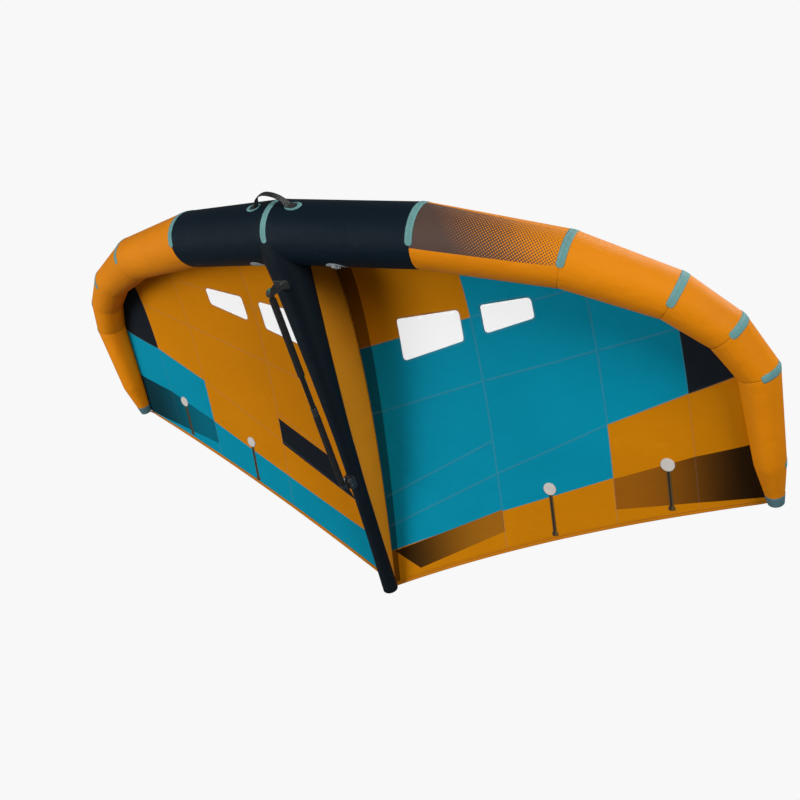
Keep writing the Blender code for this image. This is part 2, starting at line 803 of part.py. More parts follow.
# Tab of the cap, reaching to its hinge line over the rim of the flange
cap_tab = box_object(
    "cap_tab", (CAP_TAB_WIDTH, tab_reach, CAP_THICKNESS),
    (0, CAP_RADIUS - LUG_OVERLAP + tab_reach / 2, (cap_bottom + cap_top) / 2), CUTTERS)
cap_tab.matrix_world = VALVE_FRAME @ Matrix.Translation(cap_tab.location)
valve_cap.matrix_world = VALVE_FRAME
cut(valve_cap, cap_tab, "UNION")

# front handle
handle_angle = step_angle(HANDLE_STEP)
inner_run = REACH * RING_SHARES[1][0]
patch_start = HANDLE_SPAN / 2 - PATCH_MARGIN
patch_end = HANDLE_SPAN / 2 + HANDLE_FOOT + PATCH_MARGIN
patch_bm = surface_mesh(
    lambda angle, x: tube_point(x / inner_run, angle, PATCH_GAP),
    [step_angle(HANDLE_STEP + step) for step in (-1, 0, 1)], [patch_start, patch_end])
handle_patch = finish_mesh("handle_patch_r", patch_bm, TEAL_TAPE)
solidify(handle_patch, PATCH_THICKNESS, outward=True)
mirrored(handle_patch, "handle_patch_l")

strap_seat = PATCH_GAP + PATCH_THICKNESS + PATCH_GAP
strap_path = [(-HANDLE_SPAN / 2 - HANDLE_FOOT, 0.0)]
for angle in spread(math.pi, 0, HANDLE_STEPS):
    strap_path.append((HANDLE_SPAN / 2 * math.cos(angle), HANDLE_HEIGHT * math.sin(angle)))
strap_path.append((HANDLE_SPAN / 2 + HANDLE_FOOT, 0.0))


def strap_point(width, index):
    x, height = strap_path[index]
    seat = tube_point(x / inner_run, handle_angle, strap_seat)
    outward = Vector((0, math.cos(handle_angle), math.sin(handle_angle)))
    across = Vector((1, 0, 0)).cross(outward)
    return seat + outward * height + across * width


strap_bm = surface_mesh(
    strap_point, [-HANDLE_WIDTH / 2, HANDLE_WIDTH / 2], list(range(len(strap_path))))
strap = finish_mesh("handle_strap", strap_bm, WEBBING)
solidify(strap, HANDLE_THICKNESS, outward=True)

# boom
BOOM_FRAME = Matrix.Rotation(BOOM_SLOPE, 4, "X")
boom_pivot = bpy.data.objects.new("boom_pivot", None)
CUTTERS.objects.link(boom_pivot)
boom_pivot.hide_render = True
boom_front = -BOOM_LENGTH / 2
boom_rear = BOOM_LENGTH / 2
pin_y = boom_rear + PIN_BEHIND
PIN_PLACE = Matrix.Translation((0, pin_y, PIN_RISE))
boom_pivot.matrix_world = BOOM_FRAME @ PIN_PLACE


def on_boom(ob, place=Matrix.Identity(4), swings=True):
    """Seats a piece in the boom's frame; what swings hangs on the rear pivot."""
    if swings:
        ob.parent = boom_pivot
        ob.matrix_parent_inverse = boom_pivot.matrix_world.inverted()
    ob.matrix_world = BOOM_FRAME @ place
    return ob


grip_outer = BOOM_RADIUS + GRIP_THICKNESS
grip_inner = BOOM_RADIUS + FIT_GAP
on_boom(sleeve(
    "boom_tube", BOOM_RADIUS - BOOM_WALL, BOOM_RADIUS, boom_front, boom_rear, CARBON), ALONG_Y)
on_boom(sleeve(
    "grip_front", grip_inner, grip_outer, boom_front + GRIP_SETBACK, -BARE_FRONT, FOAM_GRIP),
    ALONG_Y)
on_boom(sleeve(
    "grip_rear", grip_inner, grip_outer, BARE_REAR, boom_rear - GRIP_SETBACK, FOAM_GRIP),
    ALONG_Y)
collar_end = BARE_REAR - FIT_GAP
on_boom(sleeve(
    "boom_collar", grip_inner, grip_inner + COLLAR_THICKNESS, collar_end - COLLAR_LENGTH,
    collar_end, MOULDING), ALONG_Y)

stem_radius = BOOM_RADIUS - BOOM_WALL - FIT_GAP


def moulded_fitting(name, outline, width, stem, others=()):
    """Side outline of a fitting, joined to the round stem inside the boom."""
    blank = flat_outline(name, outline, width / 2)
    blank = as_mesh(blank)
    blank.data.materials.append(MOULDING)
    on_boom(blank, ON_EDGE)
    for joined in (stem, *others):
        cut(blank, joined, "UNION")
    return blank


# Front elbow: from the boom's end up to the spigot in the front base
elbow_face = boom_front - FIT_GAP
elbow_front = elbow_face - ELBOW_DEPTH
elbow_stem = on_boom(rod(
    "elbow_stem", stem_radius, elbow_face - ELBOW_DEPTH / 2, boom_front + STEM_LENGTH, None,
    CUTTERS), ALONG_Y, swings=False)
spigot_y = (elbow_face + elbow_front) / 2
spigot = on_boom(
    rod("elbow_spigot", SPIGOT_RADIUS, ELBOW_HEIGHT / 2, ELBOW_HEIGHT + SPIGOT_LENGTH, None,
        CUTTERS), Matrix.Translation((0, spigot_y, 0)), swings=False)
elbow = moulded_fitting("boom_elbow", [
    (elbow_face, -ELBOW_DROP), (elbow_face, ELBOW_HEIGHT), (elbow_front, ELBOW_HEIGHT),
    (elbow_front, ELBOW_CHAMFER - ELBOW_DROP), (elbow_front + ELBOW_CHAMFER, -ELBOW_DROP)],
    FITTING_WIDTH, elbow_stem, (spigot,))

# Release button in a blind bore of the elbow's front
button_back = elbow_front - BUTTON_PROUD + BUTTON_LENGTH
on_boom(rod(
    "release_button", BUTTON_RADIUS, elbow_front - BUTTON_PROUD, button_back, BUTTON_GREEN),
    ALONG_Y)
button_bore = on_boom(rod(
    "button_bore", BUTTON_RADIUS + FIT_GAP, elbow_front - BUTTON_PROUD,
    button_back + BUTTON_TRAVEL + SOCKET_ROOF, None, CUTTERS), ALONG_Y, swings=False)
cut(elbow, button_bore)

# Rear fitting: from the boom's end up to the knuckle on the hinge pin
rear_face = boom_rear + FIT_GAP
rear_stem = on_boom(rod(
    "rear_stem", stem_radius, boom_rear - STEM_LENGTH, (rear_face + pin_y) / 2, None, CUTTERS),
    ALONG_Y, swings=False)
knuckle = []
for angle in spread(-math.pi / 4, math.pi * 3 / 4, KNUCKLE_STEPS):
    knuckle.append((
        pin_y + KNUCKLE_RADIUS * math.cos(angle), PIN_RISE + KNUCKLE_RADIUS * math.sin(angle)))
rear_fitting = moulded_fitting("boom_rear_fitting", knuckle + [
    (rear_face, BOOM_RADIUS), (rear_face, -REAR_DROP), (pin_y - KNUCKLE_RADIUS, -REAR_DROP),
    (pin_y + KNUCKLE_RADIUS * math.cos(math.pi / 4), BOOM_RADIUS)],
    TONGUE_WIDTH, rear_stem)
ACROSS = Matrix.Rotation(math.pi / 2, 4, "Y")
pin_half = BASE_WIDTH / 2 + PIN_PROUD
on_boom(rod("hinge_pin", PIN_RADIUS, -pin_half, pin_half, STEEL), PIN_PLACE @ ACROSS,
        swings=False)
pin_bore = on_boom(
    rod("pin_bore", PIN_RADIUS + FIT_GAP, -pin_half, pin_half, None, CUTTERS),
    PIN_PLACE @ ACROSS, swings=False)
cut(rear_fitting, pin_bore)

# Bases under the strut, saddle-shaped on top
saddle = on_strut_axis(turned(
    "saddle_shape", strut_profile(FIT_GAP) + [(0, -STRUT_LENGTH)], None, closed=False,
    collection=CUTTERS, sides=STRUT_SIDES * 2))


def strut_underside(boom_y):
    """Height of the strut's underside in the boom's frame."""
    level = BOOM_FRAME @ Vector((0, boom_y, 0))
    under = Vector((0, level.y, STRUT_Z - strut_radius_at(level.y)))
    return (BOOM_FRAME.inverted() @ under).z


def base_block(name, centre_y, length, bottom):
    top = strut_underside(centre_y) + BASE_GRIP
    block = box_object(
        name, (BASE_WIDTH, length, top - bottom), (0, 0, 0), None, MOULDING)
    on_boom(block, Matrix.Translation((0, centre_y, (top + bottom) / 2)), swings=False)
    bevel = block.modifiers.new("Rounded", "BEVEL")
    bevel.width = EDGE_ROUND
    bevel.segments = 2
    cut(block, saddle)
    return block


front_base = base_block(
    "boom_base_front", spigot_y, BASE_LENGTH_FRONT, ELBOW_HEIGHT + FIT_GAP)
socket = on_boom(
    rod("spigot_socket", SPIGOT_RADIUS + SOCKET_GAP, ELBOW_HEIGHT,
        ELBOW_HEIGHT + SPIGOT_LENGTH + SOCKET_ROOF, None, CUTTERS),
    Matrix.Translation((0, spigot_y, 0)), swings=False)
cut(front_base, socket)

rear_base = base_block(
    "boom_base_rear", pin_y, BASE_LENGTH_REAR, PIN_RISE - KNUCKLE_RADIUS)
slot_top = PIN_RISE + KNUCKLE_RADIUS + SOCKET_GAP
slot_bottom = PIN_RISE - KNUCKLE_RADIUS * 2
slot = box_object(
    "tongue_slot", (TONGUE_WIDTH + SOCKET_GAP, BASE_LENGTH_REAR * 2, slot_top - slot_bottom),
    (0, 0, 0), CUTTERS)
on_boom(slot, Matrix.Translation((0, pin_y, (slot_top + slot_bottom) / 2)), swings=False)
cut(rear_base, slot)
cut(rear_base, pin_bore)
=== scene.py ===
from itertools import accumulate
from math import acos, atan2, copysign, cos, dist, exp, hypot, pi, radians, sin, sqrt, tan, tau

import bmesh
import bpy
from mathutils import Matrix, Vector
from mathutils.bvhtree import BVHTree


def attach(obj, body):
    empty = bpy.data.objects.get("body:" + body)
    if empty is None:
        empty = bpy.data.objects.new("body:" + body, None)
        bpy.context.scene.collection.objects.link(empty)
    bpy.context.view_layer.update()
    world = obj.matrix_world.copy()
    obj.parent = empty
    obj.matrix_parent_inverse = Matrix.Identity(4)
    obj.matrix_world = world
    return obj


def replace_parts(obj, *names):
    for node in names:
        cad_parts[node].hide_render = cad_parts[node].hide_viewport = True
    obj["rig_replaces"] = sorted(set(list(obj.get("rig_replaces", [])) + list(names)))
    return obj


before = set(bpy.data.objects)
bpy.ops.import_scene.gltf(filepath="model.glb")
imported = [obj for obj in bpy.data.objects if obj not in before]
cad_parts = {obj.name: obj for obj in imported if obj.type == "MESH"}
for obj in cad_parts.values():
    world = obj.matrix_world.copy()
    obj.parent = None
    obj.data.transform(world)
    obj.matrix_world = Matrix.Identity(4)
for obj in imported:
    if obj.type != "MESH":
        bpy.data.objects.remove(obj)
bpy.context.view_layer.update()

# Leading edge: the air-filled tube that carries the wing. Six tapering sleeves a side are cut
# from woven polyester and zigzag-sewn end to end with mitred joints, navy in the middle and
# orange outside. Air pressure keeps it round; the thread draws it in at every joint.
HALF_SPAN = 1.70
SWEEP = 1.153
RISE = 0.236
TUBE_RADIUS = 0.1256
TUBE_Y = -0.649
TUBE_Z = 0.150
RING_SHARES = (  # reach, sweep, rise and radius at every joint
    (0.0, 0.0, 0.0, 1.0), (0.3505, 0.042, 0.255, 0.957), (0.654, 0.142, 0.504, 0.807),
    (0.846, 0.274, 0.739, 0.686), (0.938, 0.393, 0.866, 0.619), (0.987, 0.527, 0.956, 0.572),
    (0.996, 0.838, 0.940, 0.435), (0.9997, 0.989, 0.9959, 0.2243))
LAST = len(RING_SHARES) - 1
TIP_FLATNESS = 0.25
SEAM_DIP = 0.0007
DIP_REACH = 0.014
PUCKER = 0.0008
PUCKER_REACH = 0.030
THREAD_REACH = 0.004
RINGS_BY_SEAM = (0.00015, 0.004, 0.009, 0.016, 0.026, 0.040, 0.060)
RING_PITCH = 0.055
CASING_WALL = 0.0012
CASING_WEAVE = 0.0016
FILM_WALL = 0.0006
BLADDER_LIFT = -0.0028
WELD = 0.00002
ORANGE_CASING = (0.69, 0.217, 0.0008)
NAVY_CASING = (0.0036, 0.0096, 0.0162)
PRINT_BROWN = (0.085, 0.052, 0.042)
PRINT_LOW, PRINT_HIGH = (0.560, -0.189), (0.350, -0.06)
DOT_PITCH = 0.0125
UP, SIDEWAYS = Vector((0, 0, 1)), Vector((1, 0, 0))


def ring_centre(index):
    reach, sweep, rise, _ = RING_SHARES[index]
    return Vector((HALF_SPAN * reach, TUBE_Y + SWEEP * sweep, TUBE_Z + RISE * rise))


def ring_frame(index):
    """Centre, radius and the aft and upward unit vectors of a joint, and the tube's direction."""
    ways = [(ring_centre(i + 1) - ring_centre(i)).normalized()
            for i in (index - 1, index) if 0 <= i < LAST]
    along = sum(ways, Vector()).normalized() if index else SIDEWAYS
    up = (UP - along * UP.dot(along)).normalized()
    return ring_centre(index), TUBE_RADIUS * RING_SHARES[index][3], up.cross(along), up, along


RINGS = [ring_frame(index) for index in range(LAST + 1)]
RUNS = [(RINGS[index + 1][0] - RINGS[index][0]).length for index in range(LAST)]


def ring_point(index, angle, lift):
    centre, radius, aft, up, _ = RINGS[index]
    return centre + (aft * cos(angle) + up * sin(angle)) * (radius + lift)


def on_side(place, station):
    """Takes a point over to the left half where the station is negative."""
    return place if station >= 0 else Vector((-place.x, place.y, place.z))


def tube_point(station, angle, lift=0.0):
    """Point on the tube; the angle runs from aft over the top, past LAST is the tip dome."""
    out = abs(station)
    if out > LAST:
        centre, radius, _, _, along = RINGS[LAST]
        bend = (out - LAST) * pi / 2
        place = (centre + (ring_point(LAST, angle, lift) - centre) * abs(cos(bend)) ** 0.5
                 + along * (radius * TIP_FLATNESS + lift) * sin(bend) ** 0.5)
    else:
        index = min(int(out), LAST - 1)
        place = ring_point(index, angle, lift).lerp(
            ring_point(index + 1, angle, lift), out - index)
    return on_side(place, station)


def from_joint(station):
    """The joint nearest to a station, and how far along the tube it is."""
    near = min(round(abs(station)), LAST - 1)
    run = RUNS[near] if abs(station) >= near else RUNS[near - 1]
    return near, abs(abs(station) - near) * run


def tube_skin(station, angle, lift=0.0):
    """The tube with its joints drawn in and puckered by the thread."""
    near, away = from_joint(station)
    lift -= SEAM_DIP * exp(-away / DIP_REACH)
    if near < LAST - 1:
        swing = sin(34 * angle + 2 * near) + sin(19 * angle + 5 * near) / 2
        lift += PUCKER * swing * exp(-away / PUCKER_REACH) * (1 - exp(-away / THREAD_REACH))
    return tube_point(station, angle, lift)


def spread(start, end, steps):
    return [start + (end - start) * i / steps for i in range(steps + 1)]


def laid(point, across, along, closed=False):
    """A grid of cloth laid on a surface, with a UV map in metres along its threads."""
    bm = bmesh.new()
    bmesh.ops.create_grid(bm, x_segments=len(across) - 1, y_segments=len(along) - 1, size=1)
    cloth = bm.loops.layers.uv.new("Cloth")
    places = [[point(a, b) for a in across] for b in along]

    def run_along(line):
        return [0.0, *accumulate((there - here).length for here, there in zip(line, line[1:]))]

    rows = [run_along(row) for row in places]
    columns = run_along([row[len(across) // 2] for row in places])
    for vert in bm.verts:
        i = round((vert.co.x + 1) / 2 * (len(across) - 1))
        j = round((vert.co.y + 1) / 2 * (len(along) - 1))
        for loop in vert.link_loops:
            loop[cloth].uv = (rows[j][i], columns[j])
        vert.co = places[j][i]
    if closed:
        bmesh.ops.remove_doubles(bm, verts=bm.verts, dist=WELD)
    return bm


def shown(name, data):
    made = bpy.data.objects.new(name, data)
    bpy.context.scene.collection.objects.link(made)
    return made


def sewn(name, bm, stuffs, node=None, body="wing", crease=60, wall=0.0, offset=-1.0):
    """Turns a bmesh into a finished piece that rides on a body and stands for a node."""
    mesh = bpy.data.meshes.new(name)
    bm.to_mesh(mesh)
    bm.free()
    mesh.shade_smooth()
    mesh.set_sharp_from_angle(angle=radians(crease))
    for material in stuffs if isinstance(stuffs, list) else [stuffs]:
        mesh.materials.append(material)
    piece = shown(name, mesh)
    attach(piece, body)
    if node:
        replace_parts(piece, node)
    if wall:
        solid = piece.modifiers.new("Wall", "SOLIDIFY")
        solid.thickness, solid.offset = wall, offset
    return piece


def left_of(piece, name, node=None):
    """The same piece on the left side, with its own mesh."""
    twin = piece.copy()
    twin.data = piece.data.copy()
    twin.name = twin.data.name = name
    twin.data.transform(Matrix.Scale(-1, 4, SIDEWAYS))
    twin.data.flip_normals()
    bpy.context.scene.collection.objects.link(twin)
    twin["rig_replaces"] = []
    if node:
        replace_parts(twin, node)
    return twin


def plug(socket, value):
    """Links an output to an input, or sets the input to a plain number or colour."""
    if isinstance(value, bpy.types.NodeSocket):
        stuff.node_tree.links.new(value, socket)
    else:
        socket.default_value = (*value, 1) if socket.type == "RGBA" else value


def add_node(kind, inputs={}, **settings):
    """Adds a node to the latest material, which is called stuff here."""
    made = stuff.node_tree.nodes.new("ShaderNode" + kind)
    for key, value in settings.items():
        setattr(made, key, value)
    for socket, value in inputs.items():
        plug(made.inputs[socket], value)
    return made


def fresh_material(name, colour, specular=0.12, **sockets):
    global stuff
    stuff = bpy.data.materials.new(name)
    stuff.use_nodes = True
    sockets.update({"Base Color": colour, "Specular IOR Level": specular})
    for socket, value in sockets.items():
        plug(stuff.node_tree.nodes["Principled BSDF"].inputs[socket.replace("_", " ")], value)


def maths(operation, *values):
    return add_node("Math", dict(enumerate(values)), operation=operation).outputs[0]


def added(first, second):
    return maths("ADD", first, second)


def less(first, second):
    return maths("SUBTRACT", first, second)


def times(first, second):
    return maths("MULTIPLY", first, second)


def near_line(value, place, half):
    """Mask of a line of this half width at a place."""
    return maths("LESS_THAN", maths("ABSOLUTE", less(value, place)), half)


def wavy(value, pitch):
    return maths("SINE", times(value, tau / pitch))


def uv_of(layer="Cloth"):
    return add_node("SeparateXYZ", {0: add_node("UVMap", uv_map=layer).outputs[0]}).outputs[:2]


def object_place():
    return add_node("TexCoord").outputs["Object"]


def uneven(scale, detail=3.0):
    """A soft cloudy value from 0 to 1 over the object."""
    return add_node("TexNoise", {"Vector": object_place(), "Scale": scale, "Detail": detail,
                                 "Roughness": 0.55}).outputs[0]


def between(value, low, high, out_low, out_high, kind="SMOOTHSTEP"):
    return add_node("MapRange", {0: value, 1: low, 2: high, 3: out_low, 4: out_high},
                    interpolation_type=kind).outputs[0]


def clouds(scale, low, high):
    return between(uneven(scale), 0.3, 0.7, low, high, "LINEAR")


def blended(share, first, second, mode="MIX"):
    return add_node("Mix", {0: share, 6: first, 7: second}, data_type="RGBA",
                    blend_type=mode).outputs[2]


def shaded(colour, shade):
    grey = add_node("CombineXYZ", {0: shade, 1: shade, 2: shade}).outputs[0]
    return blended(1.0, colour, grey, "MULTIPLY")


def dyed(colour, scale=2.3, swing=0.07):
    """A dye that lies a little unevenly."""
    return shaded(colour, clouds(scale, 1 - swing, 1 + swing))


def finish(base, rough, height, depth):
    """Joins a pattern to the shader: its dye, its cloudy roughness and its relief."""
    shader = stuff.node_tree.nodes["Principled BSDF"]
    plug(shader.inputs["Base Color"], base)
    plug(shader.inputs["Roughness"], clouds(*rough))
    plug(shader.inputs["Normal"], add_node("Bump", {
        "Height": height, "Distance": depth, "Strength": 1.0}).outputs[0])
    return stuff


def halftone(u, v):
    """Mask of a printed dot screen that thins out along the tube, below a straight edge."""
    cells = added(wavy(added(u, v), DOT_PITCH), wavy(less(u, v), DOT_PITCH))
    needed = between(less(v, times(u, 0.9)), -0.32, 0.27, -2.1, 1.5, "LINEAR")
    low_edge, high_edge = (maths("MULTIPLY_ADD", v, slope, start)
                           for start, slope in (PRINT_LOW, PRINT_HIGH))
    inside = times(maths("LESS_THAN", u, low_edge), maths("GREATER_THAN", u, high_edge))
    return times(maths("GREATER_THAN", cells, needed), inside)


def casing_cloth(name, colour, sheen=0.12, dye=(2.3, 0.07), rough=9.0, creases=(14.0, 0.08),
                 printed=False):
    """Calendered polyester: a fine plain weave under a smooth, faintly creased finish."""
    fresh_material(name, colour, sheen)
    u, v = uv_of()
    shade = dyed(colour, *dye)
    if printed:
        shade = blended(halftone(u, v), shade, PRINT_BROWN)
    folds = between(uneven(creases[0], 5.0), 0.5 - creases[1], 0.5 + creases[1], -4.0, 4.0)
    return finish(shade, (rough, 0.44, 0.58),
                  added(times(wavy(u, CASING_WEAVE), wavy(v, CASING_WEAVE)), folds), 0.00010)


def plain_stuff(name, colour, dye, rough, grain, depth, specular=0.12, **sockets):
    """Film or moulded stuff: a fine uneven skin, a little worn."""
    fresh_material(name, colour, specular, **sockets)
    return finish(dyed(colour, *dye), rough, uneven(*grain), depth)


NAVY_CLOTH = casing_cloth("casing_navy", NAVY_CASING, 0.07)
ORANGE_CLOTH = casing_cloth("casing_orange", ORANGE_CASING)
PRINTED_CLOTH = casing_cloth("casing_orange_printed", ORANGE_CASING, printed=True)
BLADDER_FILM = plain_stuff("bladder_film", (0.60, 0.60, 0.57), (6.0, 0.04), (30.0, 0.22, 0.38),
                           (60.0, 4.0), 0.0006)
ALL_ROUND = spread(0.0, tau, 96)
DOME = spread(LAST, LAST + 1, 10)[1:]


def run_stations(index):
    """Rings of one sleeve, crowded where the thread draws it in."""
    run = RUNS[index]
    ends = [away / run for away in RINGS_BY_SEAM if away < run * 0.45]
    middle = spread(ends[-1], 1 - ends[-1], max(1, round(run / RING_PITCH)))[1:-1]
    return [index + share for share in ends + middle + [1 - away for away in reversed(ends)]]


def round_tube(skin, stations, lift=0.0, around=ALL_ROUND):
    return laid(lambda angle, station: skin(station, angle, lift), around, stations, closed=True)


half_stations = [*range(1, LAST + 1), *DOME[::3]]
sewn("le_bladder_film", round_tube(
    tube_point, sorted([0, *half_stations, *(-s for s in half_stations)]), BLADDER_LIFT,
    ALL_ROUND[::2]), BLADDER_FILM, "le_bladder", crease=40, wall=FILM_WALL)
for number in range(LAST - 1):
    stations = run_stations(number)
    if number == LAST - 2:
        stations += run_stations(LAST - 1)[1:] + [LAST] + DOME
    cloth, slot = (ORANGE_CLOTH, "casing_orange") if number else (NAVY_CLOTH, "casing_navy")
    right = sewn(f"le_sleeve_r{number + 1}", round_tube(tube_skin, stations), cloth,
                 f"le_panel_r{number + 1}", wall=CASING_WALL)
    left = left_of(right, f"le_sleeve_l{number + 1}", f"le_panel_l{number + 1}")
    if number == 1:
        right.data.materials[0] = PRINTED_CLOTH

# Seam tapes: woven tape with rounded ends, glued and stitched over the front of each joint to
# take the load off the thread. Teal grey, with a zigzag row down each edge; the tip has a
# whole sock of the same tape cloth.
TAPE_WIDTH = 0.028
TAPE_LIFT = 0.0005
TAPE_WALL = 0.0008
TAPE_SPANS = ((105, 267), (105, 263), (90, 259), (75, 264), (75, 244), (80, 247), (90, 194))
TAPE_NODES = 5
TAPE_TEAL = (0.135, 0.315, 0.310)
TIP_SOCK_START = 6.772


def thread_rows(along, across, centre, pitch, swing, thickness):
    """Mask of two zigzag rows of thread, one on each side of a middle line."""
    half = maths("ABSOLUTE", across)
    path = between(maths("PINGPONG", along, pitch / 2), 0.0, pitch / 2, centre - swing,
                   centre + swing, "LINEAR")
    return near_line(half, path, thickness)


def tape_cloth(name, colour, thread, half_width):
    fresh_material(name, colour)
    u, v = uv_of()
    rows = thread_rows(v, less(u, half_width), half_width * 0.62, 0.0075, 0.0016, 0.0007)
    ribs = between(wavy(v, 0.0048), -1, 1, 0.80, 1.12, "LINEAR")
    return finish(blended(rows, shaded(dyed(colour, 20.0, 0.10), ribs), thread),
                  (60.0, 0.5, 0.7), maths("MULTIPLY_ADD", rows, 2.5, wavy(v, 0.0024)), 0.00025)


def rounded_stops(length, radius, pitch):
    """Places along a band, crowded at its ends, with the share of its width at each."""
    end = [(radius * (1 - cos(turn)), sin(turn)) for turn in spread(0, pi / 2, 6)]
    middle = spread(radius, length - radius, max(2, round((length - 2 * radius) / pitch)))
    return (end + [(place, 1.0) for place in middle[1:-1]]
            + [(length - place, share) for place, share in reversed(end)])


def tape_bm(number, first, last):
    radius = RINGS[number][1]
    stops = rounded_stops(radians(last - first) * radius, TAPE_WIDTH / 2, 0.012)

    def on_joint(offset, stop):
        out = offset * stop[1]
        run = RUNS[number] if out >= 0 or number == 0 else RUNS[number - 1]
        return tube_skin(number + out / run, radians(first) + stop[0] / radius, TAPE_LIFT)

    return laid(on_joint, spread(TAPE_WIDTH / 2, -TAPE_WIDTH / 2, 6), stops, closed=True)


TAPE_CLOTH = tape_cloth("seam_tape", TAPE_TEAL, (0.30, 0.50, 0.50), TAPE_WIDTH / 2)
for number, (first, last) in enumerate(TAPE_SPANS):
    side = f"r{number}" if number else "centre"
    has_node = number < TAPE_NODES
    tape = sewn(f"seam_tape_{side}", tape_bm(number, first, last), TAPE_CLOTH,
                has_node and f"le_tape_{side}", crease=40, wall=TAPE_WALL, offset=1.0)
    if number:
        left_of(tape, f"seam_tape_l{number}", has_node and f"le_tape_l{number}")

SOCK_CLOTH = tape_cloth("tip_sock", (0.095, 0.190, 0.215), (0.14, 0.26, 0.28), 0.01)
sock_bm = round_tube(tube_point, spread(TIP_SOCK_START, LAST, 6) + DOME, TAPE_LIFT)
left_of(sewn("tip_sock_r", sock_bm, SOCK_CLOTH, crease=40, wall=TAPE_WALL,
             offset=1.0), "tip_sock_l")

# Sail: one stretched sheet of ripstop from tip to tip over the tube and the strut, sewn from
# four gores a side and from dyed fields inside each gore, with lapped, twice-zigzagged seams.
SAIL_END_Y = 1.12
SAIL_END_Z = 0.155
EDGE_SWEEP = 0.617
EDGE_RISE = 0.2553
EDGE_CURVE_SHARE = 0.36
EDGE_SAG_SHARE = 0.068
EDGE_REACH_SHARES = (0.0, 0.36, 0.652, 0.84, 0.865, 0.895, 0.935, 0.972)
ARM_SHARE = 0.05
ATTACH_ANGLE, ATTACH_TURN = radians(95), radians(63)
REAR_ANGLE, REAR_TURN = radians(14), radians(16.6)
SAIL_SEAT = 0.0006
SAIL_TUCK = 0.0022
SAIL_WALL = 0.0005
SAIL_END_STATION = 6.99
SAIL_PITCH = 0.020
CHORD_STEPS = 90
GORES = 4
RIPSTOP_PITCH = 0.010
SAIL_WEAVE = 0.0012
SEAM_WIDTH = 0.009
SEAM_TUCK = 0.0018
FULLNESS_REACH = 0.030
# Painted shade along the middle of the sail's underside: its width at the front and back, and how
# dark it is painted
STRIP_WIDTHS = (0.086, 0.030)
STRIP_SHADE = 0.70
FRONT_MARGIN = 0.021
FRONT_SEAM = 0.010
NEARBY = 0.04
SAIL_ORANGE = (0.570, 0.198, 0.0005)
SAIL_TEAL = (0.0, 0.248, 0.375)
SAIL_NAVY = (0.0085, 0.0120, 0.0170)


def edge_point(station):
    """Point on the trailing edge of the right half."""
    index = min(int(station), len(EDGE_REACH_SHARES) - 2)
    near, far = EDGE_REACH_SHARES[index:index + 2]
    out = near + (far - near) * (station - index)
    forward = EDGE_SWEEP * out * (1 + EDGE_CURVE_SHARE * (1 - out))
    rise = EDGE_RISE * out * (1 - EDGE_SAG_SHARE * (1 - out))
    return Vector((HALF_SPAN * out, SAIL_END_Y - forward, SAIL_END_Z + rise))


def attach_angle(station):
    return ATTACH_ANGLE - ATTACH_TURN * abs(station) / LAST


def sail_point(station, share):
    """Section of the sail from its seat on the tube to the trailing edge."""
    out = abs(station)
    angle = attach_angle(out)
    front, back = tube_point(out, angle, SAIL_SEAT), edge_point(out)
    index = min(int(out), LAST - 1)
    aft = RINGS[index][2].lerp(RINGS[index + 1][2], out - index).normalized()
    chord = back - front
    leave = aft * sin(angle) - UP * cos(angle)
    fall = REAR_ANGLE - REAR_TURN * out / LAST
    arrive = UP * sin(fall) - Vector((chord.x, chord.y, 0)).normalized() * cos(fall)
    front_arm = front + leave * chord.length * ARM_SHARE
    rear_arm = back + arrive * chord.length * (1 - ARM_SHARE)
    rest = 1 - share
    return on_side(front * rest ** 3 + front_arm * (3 * rest * rest * share)
                   + rear_arm * (3 * rest * share * share) + back * share ** 3, station)


def chord_share(part):
    """Share of the section curve at which this part of the chord has passed."""
    low, high = 0.0, 1.0
    for _ in range(24):
        share = (low + high) / 2
        passed = 3 * (1 - share) * share * ARM_SHARE + share ** 3
        low, high = (share, high) if passed < part else (low, share)
    return (low + high) / 2


sail_stations = [0.0]
for index in range(LAST):
    edge = SEAM_WIDTH / 2 / RUNS[index]
    end = min(index + 1, SAIL_END_STATION)
    seamed = index < GORES - 1
    steps = max(3, round(RUNS[index] * (end - index) / SAIL_PITCH))
    inner = spread(index + edge * (index < GORES), end - edge * seamed, steps) + [end] * seamed
    sail_stations += [station for station in inner if station > sail_stations[-1] + 1e-6]
sail_stations = [-station for station in reversed(sail_stations[1:])] + sail_stations
chord_shares = [chord_share(part) for part in spread(0.0, 1.0, CHORD_STEPS)]


def sail_skin(station, share):
    """The sail, its front edge sewn down on the tube and every gore a little full."""
    if share < chord_shares[1]:
        return tube_point(station, attach_angle(station), -SAIL_TUCK)
    place = sail_point(station, share)
    near, away = from_joint(station)
    if near < GORES:
        fade = min(1.0, share * 12, (1 - share) * 6)
        place.z += SEAM_TUCK * fade * exp(-away / FULLNESS_REACH)
    return place


sail_bm = laid(sail_skin, sail_stations, chord_shares)
station_layer = sail_bm.faces.layers.float.new("station")
stitch_layer = sail_bm.loops.layers.uv.new("Stitch")
cloth_layer = sail_bm.loops.layers.uv["Cloth"]
sail_bm.faces.ensure_lookup_table()
for order, face in enumerate(sail_bm.faces):
    column = order % (len(sail_stations) - 1)
    ends = sail_stations[column:column + 2]
    face[station_layer] = sum(ends) / 2
    for loop in face.loops:
        station = ends[loop.vert.co.x >= face.calc_center_median().x]
        near = round(station)
        loop[stitch_layer].uv = (
            loop[cloth_layer].uv.y, (station - near) * RUNS[min(abs(near), LAST - 1)])


def only(kind, parts):
    return [part for part in parts if isinstance(part, kind)]


